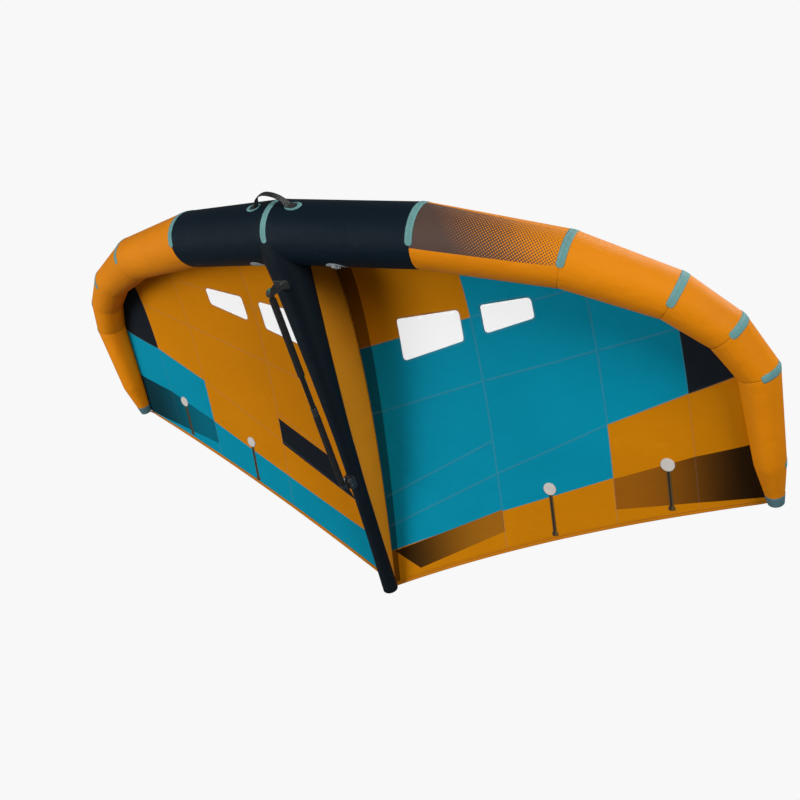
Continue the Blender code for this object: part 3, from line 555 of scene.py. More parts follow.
def cut_along(faces, start, end):
    """Cuts these faces along an upright plane through two plan points, keeping its left side."""
    way = Vector((end[0] - start[0], end[1] - start[1], 0)).normalized()
    right, at = Vector((way.y, -way.x, 0)), Vector((start[0], start[1], 0))
    geom = list({*faces, *(edge for face in faces for edge in face.edges),
                 *(vert for face in faces for vert in face.verts)})
    cut = bmesh.ops.bisect_plane(sail_bm, geom=geom, dist=1e-6, plane_co=at, plane_no=right)
    return [face for face in only(bmesh.types.BMFace, cut["geom"])
            if (face.calc_center_median() - at).dot(right) < 0]


def cut_round(faces, outline):
    for start, end in zip(outline, outline[1:] + outline[:1]):
        faces = cut_along(faces, start, end)
    return faces


def gore_faces(low, high, around=()):
    """Faces of the sail between two joints, near some plan points if they are given."""
    faces = [face for face in sail_bm.faces if low < face[station_layer] < high]
    for axis in (0, 1) if around else ():
        first, last = (pick(point[axis] for point in around) for pick in (min, max))
        faces = [face for face in faces
                 if first - NEARBY < face.calc_center_median()[axis] < last + NEARBY]
    return faces


def dye(low, high, kind, *lines):
    """Gives one field of a gore its colour: the faces left of every line."""
    faces = gore_faces(low, high)
    for line in lines:
        faces = cut_along(faces, *line)
    for face in faces:
        face.material_index = kind


def beside(path, place):
    """Distances along and across a sewn line, in plan."""
    best, passed = None, 0.0
    for start, end in zip(path, path[1:]):
        start, end = Vector(start), Vector(end)
        way = (end - start).normalized()
        offset = Vector((place.x, place.y)) - start
        along = min(max(offset.dot(way), 0.0), (end - start).length)
        gap = (offset - way * along).length
        side = 1 if way.x * offset.y - way.y * offset.x > 0 else -1
        if best is None or gap < abs(best[1]):
            best = (passed + along, gap * side)
        passed += (end - start).length
    return best


def stitch(faces, path, shift=0.0):
    """Makes faces into a lapped seam with two rows of thread."""
    for face in faces:
        if face.material_index < KINDS:
            face.material_index += KINDS
        for loop in face.loops:
            along, across = beside(path, loop.vert.co)
            loop[stitch_layer].uv = (along, across + shift)


def seam_line(low, high, start, end):
    start, end = Vector(start), Vector(end)
    way = (end - start).normalized()
    out = Vector((-way.y, way.x)) * SEAM_WIDTH / 2
    faces = cut_along(gore_faces(low, high, (start, end)), start - out, end - out)
    stitch(cut_along(faces, end + out, start + out), (start, end))


# Dyed fields, by plan points: orange below everything, teal and navy fields, darker overprints
KINDS = 6
ORANGE, TEAL, NAVY, BROWN_OUTER, BROWN_INNER, TEAL_DARK = range(KINDS)
LINE_A = ((0.0, -0.018), (0.602, -0.189), (1.014, -0.303))
LINE_B = ((0.0, 0.288), (0.604, 0.086), (1.115, -0.070), (1.400, -0.162))
LINE_C = ((0.0, 0.690), (0.604, 0.349))
LINE_D = ((0.0, 0.834), (0.606, 0.496), (1.108, 0.236), (1.432, 0.085), (1.585, 0.007))
TEAL_LOW = ((0.0, 0.953), (0.611, 0.666), (1.109, 0.462))
LEFT_LOW = ((-1.118, 0.461), (-0.611, 0.679), (0.0, 0.941))
LEFT_D = tuple((-x, y) for x, y in LINE_D)

dye(0, 1, TEAL, LINE_A[:2], TEAL_LOW[1::-1])
dye(1, 2, TEAL, TEAL_LOW[:0:-1])
dye(2, 3, TEAL, LINE_D[3:1:-1])
dye(3, SAIL_END_STATION, NAVY, LINE_D[:2:-1])
dye(2, SAIL_END_STATION, BROWN_OUTER, ((1.114, 0.465), (1.617, 0.271)),
    ((1.658, 0.492), (1.119, 0.597)))
dye(0, 1, BROWN_INNER, ((0.020, 0.950), (0.618, 0.655)), ((0.607, 0.762), (0.156, 1.009)),
    ((0.156, 1.009), (0.020, 0.950)))
dye(-3, -2, TEAL, LEFT_D[3:1:-1])
dye(-SAIL_END_STATION, -3, TEAL, LEFT_D[:2:-1])
dye(-SAIL_END_STATION, -3, NAVY, LEFT_D[3:])
dye(-2, -1, TEAL, LEFT_LOW[:2])
dye(-1, 0, TEAL, LEFT_LOW[1:])
dye(-SAIL_END_STATION, -2, TEAL_DARK, ((-1.600, 0.269), (-1.118, 0.461)),
    ((-1.125, 0.590), (-1.666, 0.502)))
dye(-1, 0, NAVY, ((-0.617, 0.370), (-0.297, 0.534)), ((-0.297, 0.534), (-0.178, 0.733)),
    ((-0.178, 0.733), (-0.612, 0.509)))

# Joints between the gores and the sewn-down front edge, then the lapped seams across the gores
for face in sail_bm.faces:
    near, away = from_joint(face[station_layer])
    if near < GORES and away < SEAM_WIDTH / 2:
        face.material_index += KINDS
    elif all(loop[cloth_layer].uv.y < FRONT_MARGIN for loop in face.loops):
        face.material_index += KINDS
        for loop in face.loops:
            u, v = loop[cloth_layer].uv
            loop[stitch_layer].uv = (u, v - FRONT_SEAM)
for line in (LINE_A, LINE_B, LINE_C, LINE_D):
    for gore, (start, end) in enumerate(zip(line, line[1:])):
        outer = SAIL_END_STATION if gore == GORES - 1 else gore + 1
        seam_line(gore, outer, start, end)
        seam_line(-outer, -gore, (-end[0], end[1]), (-start[0], start[1]))

# Windows: two of clear film in the inner gores of each side, to look through while riding. Each
# has rounded corners and a sewn frame, and takes the place of the cloth that is cut out for it.
WINDOW_CORNER = 0.018
WINDOW_FRAME = 0.010
WINDOW_SHARES = (
    ((0.138, -0.728), (0.319, -0.756), (0.317, -0.680), (0.133, -0.620)),
    ((0.378, -0.768), (0.510, -0.790), (0.510, -0.741), (0.377, -0.699)))
FIRST_WINDOW = 50


def window_outline(corners, outset):
    """Plan outline with rounded corners, moved outward by the same distance all round."""
    moved = []
    for i, corner in enumerate(corners):
        before = (corner - corners[i - 1]).normalized()
        after = (corners[(i + 1) % len(corners)] - corner).normalized()
        sine = before.x * after.y - before.y * after.x
        moved.append(corner - (after - before) * (outset / sine))
    points = []
    for i, corner in enumerate(moved):
        to_before = (moved[i - 1] - corner).normalized()
        to_after = (moved[(i + 1) % len(moved)] - corner).normalized()
        reach = (WINDOW_CORNER + outset) / tan(acos(to_before.dot(to_after)) / 2)
        start, end = corner + to_before * reach, corner + to_after * reach
        for share in spread(0.0, 1.0, 5):
            points.append(start.lerp(corner, share).lerp(corner.lerp(end, share), share))
    return points


window_names = []
for gore, shares in enumerate(WINDOW_SHARES):
    right_corners = [Vector((HALF_SPAN * x, SAIL_END_Y + (SAIL_END_Y - TUBE_Y) * y))
                     for x, y in shares]
    left_corners = [Vector((-p.x, p.y)) for p in reversed(right_corners)]
    for side, low, corners in (("r", gore, right_corners), ("l", -gore - 1, left_corners)):
        outer = window_outline(corners, WINDOW_FRAME)
        inner = window_outline(corners, 0.0)
        faces = cut_round(gore_faces(low, low + 1, outer), outer)
        stitch(faces, inner + inner[:1], WINDOW_FRAME / 2)
        for face in cut_round(faces, inner):
            face.material_index = FIRST_WINDOW + len(window_names)
        window_names.append(f"window_{side}{gore + 1}")


def painted_shade_strip(place):
    """Painted shade: how much darker the underside is drawn along the middle, beside the web, where
    less light comes through; upward faces get none.
    """
    width = between(place[1], -0.5, 1.1, *STRIP_WIDTHS, "LINEAR")
    edge = less(maths("ABSOLUTE", place[0]), width)
    facing = add_node("SeparateXYZ", {0: add_node("NewGeometry").outputs["True Normal"]})
    return times(maths("LESS_THAN", facing.outputs[2], 0.0),
                 between(edge, -0.002, 0.002, STRIP_SHADE, 0.0))


def ripstop(name, colour, far=None, stitched=False, painted_strip=True):
    """Ripstop: a thin plain weave with a heavier thread every few millimetres and, unless turned
    off, painted shade along the middle of the underside.
    """
    fresh_material(name, colour, 0.03)
    base = colour
    u, v = plan = (add_node("SeparateXYZ", {0: object_place()}).outputs[:2] if painted_strip else uv_of())
    if far:
        base = blended(between(u, *far[1:], 0, 1), colour, far[0])
    base = dyed(base, 1.9, 0.05)
    # Painted shade: the underside is darkened in a strip along the middle of the sail
    if painted_strip:
        base = blended(painted_shade_strip(plan), base, (0, 0, 0))
    grid = maths("MINIMUM", *(maths("ABSOLUTE", wavy(way, RIPSTOP_PITCH)) for way in (u, v)))
    threads = maths("LESS_THAN", grid, 0.16)
    weave = maths("MULTIPLY_ADD", threads, 1.2, times(
        wavy(u, SAIL_WEAVE), wavy(v, SAIL_WEAVE)))
    height = added(weave, between(uneven(7.0, 4.0), 0.40, 0.60, -5.0, 5.0))
    thread = [0.55 * part + 0.13 for part in colour]
    base = blended(times(threads, 0.14), base, [0.80 * part + 0.04 for part in colour])
    if stitched:
        along, across = uv_of("Stitch")
        rows = thread_rows(along, across, SEAM_WIDTH * 0.27, 0.0060, 0.0011, 0.0006)
        fold = between(maths("ABSOLUTE", across), SEAM_WIDTH * 0.40, SEAM_WIDTH * 0.5, 4.0, 0.0,
                       "LINEAR")
        height = added(maths("MULTIPLY_ADD", rows, 3.0, height), fold)
        base = blended(times(rows, 0.42), blended(0.07, base, thread), thread)
    return finish(base, (12.0, 0.48, 0.62), height, 0.00012)


FIELDS = (
    ("sail_orange", SAIL_ORANGE, None),
    ("sail_teal", SAIL_TEAL, None),
    ("sail_navy", SAIL_NAVY, None),
    ("sail_brown_outer", (0.300, 0.098, 0.004), ((0.016, 0.0070, 0.0015), 1.15, 1.62)),
    ("sail_brown_inner", (0.034, 0.014, 0.0015), ((0.340, 0.125, 0.006), 0.08, 0.56)),
    ("sail_teal_dark", (0.002, 0.030, 0.042), ((0.0, 0.125, 0.185), -1.60, -1.14)))
sail_cloths = [ripstop(*field) for field in FIELDS]
sail_cloths += [ripstop(name + "_seam", *dyes, stitched=True) for name, *dyes in FIELDS]

WINDOW_TINT = (0.93, 0.95, 0.96)
fresh_material("window_film", WINDOW_TINT, 0.5, Alpha=0.16)
WINDOW_FILM = finish(WINDOW_TINT, (20.0, 0.04, 0.10), uneven(5.0), 0.003)
for number, name in enumerate(window_names, FIRST_WINDOW):
    film_bm = sail_bm.copy()
    others = [face for face in film_bm.faces if face.material_index != number]
    bmesh.ops.delete(film_bm, geom=others, context="FACES")
    for face in film_bm.faces:
        face.material_index = 0
    sewn(name + "_film", film_bm, WINDOW_FILM, name, crease=40, wall=SAIL_WALL,
         offset=1.0)
bmesh.ops.delete(sail_bm, context="FACES", geom=[
    face for face in sail_bm.faces if face.material_index >= FIRST_WINDOW])
sail_tree = BVHTree.FromBMesh(sail_bm)
sail = sewn("sail", sail_bm, sail_cloths, wall=SAIL_WALL, offset=1.0)
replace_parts(sail, *(f"sail_panel_{side}{n}" for side in "rl" for n in (1, 2, 3, 4)))


def under_sail(x, y, drop=0.0):
    """Point just below the sail at a plan place, and the way down from it."""
    place, normal, _, _ = sail_tree.ray_cast(Vector((x, y, -1)), UP)
    if place is None:
        place, normal, _, _ = sail_tree.find_nearest(Vector((x, y, SAIL_END_Z)))
    down = normal if normal.z < 0 else -normal
    return place + down * drop, down


# Trailing hem: a folded strip of orange cloth over the cut edge of the sail, sewn through with
# one row of dark thread a few millimetres in.
HEM_TAIL = 0.032
HEM_HALF_GIRTH = 0.0187
HEM_STITCH = 0.0045
HEM_PROFILE = ((-0.0080, 0.0010), (0.0040, 0.0014), (0.0090, 0.0012), (0.0102, 0.0003),
               (0.0090, -0.0006), (0.0040, -0.0009), (-0.0080, -0.0006), (-0.0080, 0.0010))


def hem_point(corner, station):
    """Point on the folded strip; past the sail's corner it runs on, to the end of the tube."""
    over = max(station - SAIL_END_STATION, 0.0)
    station = min(station, SAIL_END_STATION)
    end = sail_point(station, 1.0)
    edge = (edge_point(min(station + 0.02, LAST)) - edge_point(max(station - 0.02, 0))).normalized()
    rise = edge.cross(end - sail_point(station, 0.98)).normalized()
    if over:
        landing = tube_point(LAST + 0.6, attach_angle(LAST)) - end
        end = end + edge * (HEM_TAIL * over * (1 - over ** 3)) + landing * over ** 3
    return end + rise.cross(edge) * corner[0] + rise * corner[1]


def closed_up(bm):
    bmesh.ops.holes_fill(bm, edges=bm.edges, sides=0)
    bmesh.ops.recalc_face_normals(bm, faces=bm.faces)
    return bm


fresh_material("hem", SAIL_ORANGE, 0.08)
u, v = uv_of()
row = times(near_line(maths("PINGPONG", u, HEM_HALF_GIRTH), 0.0050, 0.0011),
            maths("GREATER_THAN", wavy(v, HEM_STITCH), -0.55))
HEM_CLOTH = finish(blended(row, dyed((0.56, 0.185, 0.004)), (0.16, 0.06, 0.01)),
                   (25.0, 0.48, 0.64), maths("MULTIPLY_ADD", row, 2.0, wavy(v, 0.0030)), 0.0002)
hem_stations = [0.0004] + [station for station in sail_stations if station > 0]
hem_stations += spread(SAIL_END_STATION + 0.2, SAIL_END_STATION + 1.0, 4)
hem = sewn("hem_right", closed_up(laid(hem_point, HEM_PROFILE, hem_stations, closed=True)),
           HEM_CLOTH, "hem_r")
hem_left = left_of(hem, "hem_left", "hem_l")

# Strut: the second air-filled tube, dark woven polyester, turned down from a wide mouth sewn
# to the leading edge to a slim flat-ended tail. Two joints cross it.
STRUT_Z = 0.115
STRUT_RADIUS = 0.079
STRUT_END_Y = SAIL_END_Y + 0.020
STRUT_LENGTH = 1.76
STRUT_SHARES = (  # place from the tail forward, and radius
    (0.024, 0.44), (0.180, 0.405), (0.350, 0.415), (0.520, 0.505), (0.690, 0.690),
    (0.780, 0.815), (0.865, 0.925), (0.920, 1.0), (0.976, 1.14), (1.0, 1.18))
STRUT_SEAMS = (-0.215, 0.300)
STRUT_DIP = 0.0011
STRUT_DIP_REACH = 0.012
MOUTH_PUCKER = 0.0012
MOUTH_FOLD = (0.006, 0.045)
STRUT_SOFTENING = 0.050
TAIL_RUN = 0.055
TAIL_CUT = 0.022
TAIL_ROUND = 0.006
TAIL_DOME = 0.0025
INNER_RUN = HALF_SPAN * RING_SHARES[1][0]


def strut_radius(y):
    """Radius beside a place on the axis, eased between the joints of its outline."""
    def plain(at):
        share = min(max((STRUT_END_Y - at) / STRUT_LENGTH, STRUT_SHARES[0][0]), 1.0)
        for (near, small), (far, large) in zip(STRUT_SHARES, STRUT_SHARES[1:]):
            if share <= far:
                return STRUT_RADIUS * (small + (large - small) * (share - near) / (far - near))
    reach = min(STRUT_SOFTENING, max(0.0, (STRUT_END_Y - TAIL_RUN - y) / 2))
    return sum(plain(y + reach * k / 3) for k in range(-3, 4)) / 7


def tube_back(x, z):
    """Where the back of the leading edge is beside the strut."""
    share = min(abs(x) / INNER_RUN, 1.0)
    centre = RINGS[0][0].lerp(RINGS[1][0], share)
    radius = RINGS[0][1] + (RINGS[1][1] - RINGS[0][1]) * share
    return centre.y + sqrt(max(radius ** 2 - (z - centre.z) ** 2, 0.0))


def strut_point(turn, share):
    """Point on the strut; the turn runs from the top towards the right side."""
    front = TUBE_Y + TUBE_RADIUS
    for _ in range(6):
        radius = strut_radius(front)
        front = tube_back(radius * sin(turn), STRUT_Z + radius * cos(turn))
    tail = STRUT_END_Y - TAIL_CUT
    y = front + (tail - front) * min(share, 1.0)
    radius = strut_radius(y)
    if tail - y < TAIL_ROUND:
        into = max(tail - y, 0.0) / TAIL_ROUND
        radius -= TAIL_ROUND * (1 - sqrt(into * (2 - into)))
    if share > 1:
        radius *= 2 - share
        y += TAIL_DOME * (1 - (2 - share) ** 2)
    if radius > 0.01:
        rising, falling = (exp(-(y - front) / reach) for reach in MOUTH_FOLD)
        radius += MOUTH_PUCKER * falling * (1 - rising) * sin(21 * turn)
        radius -= sum(STRUT_DIP * exp(-abs(y - seam) / STRUT_DIP_REACH) for seam in STRUT_SEAMS)
    z = STRUT_Z + radius * cos(turn)
    if y < TUBE_Y + TUBE_RADIUS * 0.7:
        z = max(z, TUBE_Z - TUBE_RADIUS)
    return Vector((radius * sin(turn), y, z))


STRUT_CLOTH = casing_cloth("strut_fabric", (0.0042, 0.0086, 0.0130), 0.10, (3.0, 0.12), 11.0,
                           (16.0, 0.10))
strut_shares = [0.0, 0.003, 0.007, 0.013, 0.020, 0.030] + spread(0.04, 0.965, 56)
strut_shares += [0.978, 0.988, 0.994, 0.9965, 0.9972, 0.9982, 0.9990, 0.9996, 0.9999, 1.0]
strut_shares += [1.25, 1.5, 1.75, 2.0]
strut = sewn("strut_sleeve", laid(strut_point, spread(0.0, tau, 72), strut_shares, closed=True),
             STRUT_CLOTH, "strut_casing", wall=CASING_WALL)

# Inside the strut: its film bladder with an open neck, and the ribbed hose that feeds it from
# the leading edge.
BLADDER_BACK = TUBE_Y + 0.1206
HOSE_Y = BLADDER_BACK - 0.016
NECK_Y = BLADDER_BACK + 0.030
NECK_RADIUS = 0.0143
FILM_GAP = 0.0036
HOSE_PITCH, HOSE_RIBS = 0.004, 16
ALONG_Y = Matrix.Rotation(-pi / 2, 4, "X")


def spun(profile, sides=48, start=0.0):
    """Turns (radius, height) points round the local Z axis."""
    bm = bmesh.new()
    verts = [bm.verts.new((radius, 0, start + height)) for radius, height in profile]
    for pair in zip(verts, verts[1:]):
        bm.edges.new(pair)
    bmesh.ops.spin(bm, geom=bm.verts[:] + bm.edges[:], cent=(0, 0, 0), axis=(0, 0, 1),
                   angle=tau, steps=sides, use_merge=True)
    bmesh.ops.remove_doubles(bm, verts=bm.verts, dist=WELD)
    bmesh.ops.recalc_face_normals(bm, faces=bm.faces)
    return bm


def rubbery(name, colour, rough, scale=40.0, depth=0.0003, specular=0.3, **sockets):
    """Moulded or rubbery stuff, its grain and wear set by one scale."""
    return plain_stuff(name, colour, (scale / 2, 0.16), (scale, rough - 0.07, rough + 0.09),
                       (scale * 6, 4.0), depth, specular, **sockets)


inner_profile = [(0.0, STRUT_END_Y - TAIL_CUT - 0.003)]
for y in spread(STRUT_END_Y - TAIL_CUT - 0.008, NECK_Y + 0.072, 40):
    inner_profile.append((strut_radius(y) - FILM_GAP, y))
wide = inner_profile[-1][0]
inner_profile += [(wide * 0.99, NECK_Y + 0.064), (wide * 0.86, NECK_Y + 0.048),
                  (wide * 0.58, NECK_Y + 0.033), (NECK_RADIUS, NECK_Y + 0.018),
                  (NECK_RADIUS, NECK_Y)]
strut_film_bm = spun(inner_profile)
strut_film_bm.transform(Matrix.Translation((0, 0, STRUT_Z)) @ ALONG_Y)
sewn("strut_bladder_film", strut_film_bm, BLADDER_FILM, "strut_bladder",
     crease=40, wall=FILM_WALL)

hose_profile = [(0.0100, 0.0)]
for rib in range(HOSE_RIBS):
    hose_profile += [(radius, rib * HOSE_PITCH + height) for radius, height in (
        (0.0120, 0.0010), (0.0120, 0.0026), (0.0112, 0.0033))]
hose_profile += [(0.0100, HOSE_RIBS * HOSE_PITCH), (0.0100, 0.0)]
hose_bm = spun(hose_profile, 32)
hose_bm.transform(Matrix.Translation((0, HOSE_Y, STRUT_Z)) @ ALONG_Y)
sewn("connector_hose_ribbed", hose_bm, rubbery("hose_rubber", (0.02, 0.02, 0.021), 0.6),
     "connector_hose", crease=50)

# Web: a standing strip of orange ripstop that ties the strut up to the sail along its middle,
# sewn in at both edges and a little full between them.
WEB_FRONT_Y = -0.610
WEB_END_Y = SAIL_END_Y - 0.012
WEB_FULLNESS = 0.006
WEB_SINK = 0.0010
WEB_DROP = 0.0004
WEB_SEAM = 0.020


def web_point(height, y):
    low = STRUT_Z + strut_radius(y) - WEB_SINK
    inside = TUBE_RADIUS ** 2 - (y - TUBE_Y) ** 2
    if inside > 0:
        low = max(low, TUBE_Z + sqrt(inside))
    high = max(under_sail(0.0, y)[0].z - WEB_DROP, low)
    swell = sin(pi * height) * sin(pi * (y - WEB_FRONT_Y) / (WEB_END_Y - WEB_FRONT_Y))
    return Vector((WEB_FULLNESS * swell, y, low + (high - low) * height))


web_bm = laid(web_point, spread(0.0, 1.0, 16), spread(WEB_FRONT_Y, WEB_END_Y, 90))
stitch_layer = web_bm.loops.layers.uv.new("Stitch")
cloth_layer = web_bm.loops.layers.uv["Cloth"]
for loop in [loop for face in web_bm.faces for loop in face.loops]:
    u, v = loop[cloth_layer].uv
    loop[stitch_layer].uv = (v, u - WEB_SEAM)
WEB_CLOTH = ripstop("web_orange", (0.62, 0.225, 0.001), stitched=True, painted_strip=False)
web = sewn("web", web_bm, WEB_CLOTH, "strut_web", wall=0.0008, offset=0.0)

# Battens: a flat stiff strip in a dark pocket under the sail, square to the trailing edge, with
# a pale round patch glued over its front end and a dark end tab at the hem.
BATTEN_PLANS = (((0.836, 0.538), (0.841, 0.748)), ((1.320, 0.387), (1.324, 0.580)))
BATTEN_WIDTH = 0.017
TAB_WIDTH = 0.027
TAB_LENGTH = 0.020
BATTEN_LIFT = 0.0004
BATTEN_WALL = 0.0019
DISC_RADIUS = 0.027
DISC_DROP = 0.0034

fresh_material("batten_pocket", (0.05, 0.04, 0.02))
u, v = uv_of()
edge = between(maths("ABSOLUTE", less(u, BATTEN_WIDTH / 2)), 0.0028, 0.0040, 0.0, 1.0)
POCKET = finish(blended(edge, dyed((0.016, 0.013, 0.011), 30.0, 0.2), (0.105, 0.062, 0.018)),
                (50.0, 0.4, 0.6), less(wavy(v, 0.003), edge), 0.0002)


def patch_film(name, colour):
    """Glued patch with one row of thread that follows its edge."""
    fresh_material(name, colour)
    row = near_line(uv_of()[1], 0.004, 0.0006)
    thread = [part * 0.55 for part in colour]
    return finish(blended(times(row, 0.6), dyed(colour, 25.0, 0.06), thread),
                  (40.0, 0.48, 0.66), uneven(120.0, 5.0), 0.0004)


def on_disc(turn, ring):
    """Point on a round patch under the sail; a ring is a share of its radius and a sinking."""
    out = DISC_RADIUS * ring[0]
    place, down = under_sail(disc_at[0] + out * cos(turn), disc_at[1] + out * sin(turn))
    return place + down * (DISC_DROP - ring[1])


def on_pocket(across, stop):
    x = disc_at[0] + way[0] * stop[0] - way[1] * across * stop[1] / 2
    y = disc_at[1] + way[1] * stop[0] + way[0] * across * stop[1] / 2
    crown = BATTEN_WALL * sqrt(max(1 - across * across, 0.0))
    return under_sail(x, y, BATTEN_LIFT + crown)[0]


PATCH = patch_film("pale_patch", (0.560, 0.530, 0.490))
for number, (disc_at, tail_at) in enumerate(BATTEN_PLANS, 1):
    length = dist(disc_at, tail_at)
    way = ((tail_at[0] - disc_at[0]) / length, (tail_at[1] - disc_at[1]) / length)
    stops = [(place, BATTEN_WIDTH) for place in [0.0, 0.004] + spread(
        0.015, length - TAB_LENGTH, 14)]
    stops += [(length - TAB_LENGTH + 0.006, TAB_WIDTH), (length - 0.003, TAB_WIDTH),
              (length, TAB_WIDTH * 0.9)]
    pocket_bm = laid(on_pocket, [1.0, 0.93, 0.78, 0.4, 0.0, -0.4, -0.78, -0.93, -1.0], stops)
    left_of(sewn(f"batten_pocket_r{number}", pocket_bm, POCKET, f"batten_r{number}"),
            f"batten_pocket_l{number}", f"batten_l{number}")
    disc_bm = laid(on_disc, spread(0.0, tau, 40), [
        (1.0, DISC_DROP), (1.0, 0.0004), (0.97, 0.0), (0.80, 0.0), (0.40, 0.0), (0.0, 0.0)],
        closed=True)
    bmesh.ops.recalc_face_normals(disc_bm, faces=disc_bm.faces)
    left_of(sewn(f"batten_disc_r{number}", disc_bm, PATCH),
            f"batten_disc_l{number}")

# Inflation valve: behind the leading edge, right of the strut, in a pale round patch welded
# over the casing. Moulded flange with a collar; its cap, knurled round its edge, hangs on a tab
# hinged at the rim. A second patch, blank, sits on the left.
VALVE_STATION = 0.250 / INNER_RUN
VALVE_STEPS = (21 / 24 * tau, 22 / 24 * tau)
PATCH_RADIUS = 0.045
PATCH_ANGLE = radians(331)
BLANK_STATION = -0.235
PATCH_WALL = 0.0007
VALVE_BORE = 0.0085
VALVE_NECK = 0.0130
VALVE_DEPTH = 0.018
VALVE_COLLAR = 0.0125
VALVE_FLANGE = 0.0200
CAP_START = 0.0072
CAP_AXIS = CAP_START + 0.00175
CAP_TAB_WIDTH = 0.0080
LUG_SIZE = (0.0014, 0.0042, 0.0096)
LUG_PLACE = (CAP_TAB_WIDTH / 2 + 0.0011, 0.0196, 0.0058)
KNURLS = 24
KNURL_DEPTH = 0.0007


def tube_patch(station, angle, half_run, half_round, lift):
    """An oval patch laid on the tube, its edge turned down; threads run in from the edge."""
    radius = (tube_point(station, angle) - tube_point(station, angle + pi)).length / 2
    run = RUNS[min(int(abs(station)), LAST - 1)]

    def on_tube(turn, ring):
        along = half_run * ring[0] * cos(turn)
        around = half_round * ring[0] * sin(turn)
        return tube_skin(station + along / run, angle + around / radius, ring[1])

    top = lift + PATCH_WALL
    rings = [(1.0, 0.0), (1.0, lift)]
    rings += [(share, top) for share in [0.985, 0.92] + spread(0.8, 0.0, 5)]
    return laid(on_tube, spread(tau, 0.0, 48), rings, closed=True)


def crosswise(x, y, z):
    """Place of a round piece that lies along X."""
    return Matrix.Translation((x, y, z)) @ Matrix.Rotation(pi / 2, 4, "Y")


def block(bm, place, size):
    bmesh.ops.create_cube(bm, size=1, matrix=Matrix.Translation(place) @ Matrix.Diagonal(
        (*size, 1)))


def rod(bm, place, radius, length, sides):
    bmesh.ops.create_cone(bm, cap_ends=True, segments=sides, radius1=radius, radius2=radius,
                          depth=length, matrix=crosswise(*place))


VALVE_PATCH = patch_film("valve_patch", (0.34, 0.41, 0.43))
for name, station in (("valve_patch", VALVE_STATION), ("blank_patch", BLANK_STATION)):
    sewn(name, tube_patch(station, PATCH_ANGLE, PATCH_RADIUS, PATCH_RADIUS, 0.0002),
         VALVE_PATCH)

# The valve stands square to the facet that the plain tube has there
valve_low, valve_high = (tube_point(VALVE_STATION, turn) for turn in VALVE_STEPS)
valve_side = (valve_high - valve_low).normalized()
valve_axis = valve_side.cross(
    tube_point(1, VALVE_STEPS[0]) - tube_point(0, VALVE_STEPS[0])).normalized()
valve_axis *= copysign(1, -valve_axis.z)
VALVE_PLACE = Matrix.Translation((valve_low + valve_high) / 2) @ Matrix(
    (valve_side, valve_axis.cross(valve_side), valve_axis)).transposed().to_4x4()

VALVE_PLASTIC = rubbery("valve_plastic", (0.30, 0.31, 0.32), 0.42, 60.0, 0.0002)
valve_bm = spun([
    (VALVE_BORE, 0.0069), (0.0096, 0.0069), (0.0118, 0.0067), (VALVE_COLLAR, 0.0060),
    (VALVE_COLLAR, 0.0036), (0.0129, 0.0029), (0.0152, 0.0029), (0.0156, 0.0033),
    (0.0168, 0.0033), (0.0172, 0.0028), (0.0190, 0.0025), (VALVE_FLANGE, 0.0014),
    (VALVE_FLANGE, 0.0002), (VALVE_NECK, 0.0001), (VALVE_NECK, -VALVE_DEPTH),
    (VALVE_BORE, -VALVE_DEPTH), (VALVE_BORE, 0.0069)], 64)
for aside in (-1, 1):
    lug_at = aside * LUG_PLACE[0]
    block(valve_bm, (lug_at, *LUG_PLACE[1:]), LUG_SIZE)
    rod(valve_bm, (lug_at + aside * 0.0009, VALVE_FLANGE, CAP_AXIS), 0.0010, 0.0006, 16)
valve_bm.transform(VALVE_PLACE)
sewn("valve_flange", valve_bm, VALVE_PLASTIC, "valve_body", crease=40)

cap_bm = spun([
    (0.0, 0.0035), (0.0090, 0.0034), (0.0096, 0.0027), (0.0112, 0.0027), (0.0120, 0.0034),
    (0.0134, 0.0030), (0.0140, 0.0022), (0.0140, 0.0004), (0.0136, 0.0), (0.0077, 0.0),
    (0.0077, -0.0019), (0.0070, -0.0025), (0.0, -0.0025)], 96, CAP_START)
for vert in cap_bm.verts:
    out = hypot(vert.co.x, vert.co.y)
    if out > 0.0132:
        wave = cos(KNURLS * atan2(vert.co.y, vert.co.x))
        vert.co.xy *= 1 - KNURL_DEPTH / out * (0.5 + 0.5 * wave)
block(cap_bm, (0, 0.0162, CAP_AXIS), (CAP_TAB_WIDTH, 0.0072, 0.0016))
rod(cap_bm, (0, VALVE_FLANGE, CAP_AXIS), 0.0014, CAP_TAB_WIDTH, 24)
cap_bm.transform(VALVE_PLACE)
sewn("valve_cap_knurled", cap_bm, VALVE_PLASTIC, "valve_cap", "valve_cap_body",
     crease=35)

# Front handle: a loop of padded webbing over the middle of the leading edge. Each foot is sewn
# to a dark pad inside an oval ring of tape cloth.
HANDLE_ANGLE = 13 / 24 * tau
HANDLE_HALF_SPAN = 0.075
HANDLE_END = HANDLE_HALF_SPAN + 0.034
HANDLE_HEIGHT = 0.050
HANDLE_WIDTH = 0.033
HANDLE_NARROW = 0.026
HANDLE_THICKNESS = 0.0033
HANDLE_LIFT_OFF = 0.030
HANDLE_OUT = Vector((0, cos(HANDLE_ANGLE), sin(HANDLE_ANGLE)))
RING_AT = 0.099
RING_HALF_RUN = 0.036
RING_HALF_ROUND = 0.025
PAD_SHARE = 0.60
WEBBING_BLACK = (0.016, 0.017, 0.018)


def dotted_rows(value, places, half, along, pitch, gap):
    """Mask of rows of stitches that lie at these places of a value."""
    rows = 0.0
    for place in places:
        rows = maths("MAXIMUM", near_line(value, place, half), rows)
    return times(rows, maths("GREATER_THAN", wavy(along, pitch), gap))


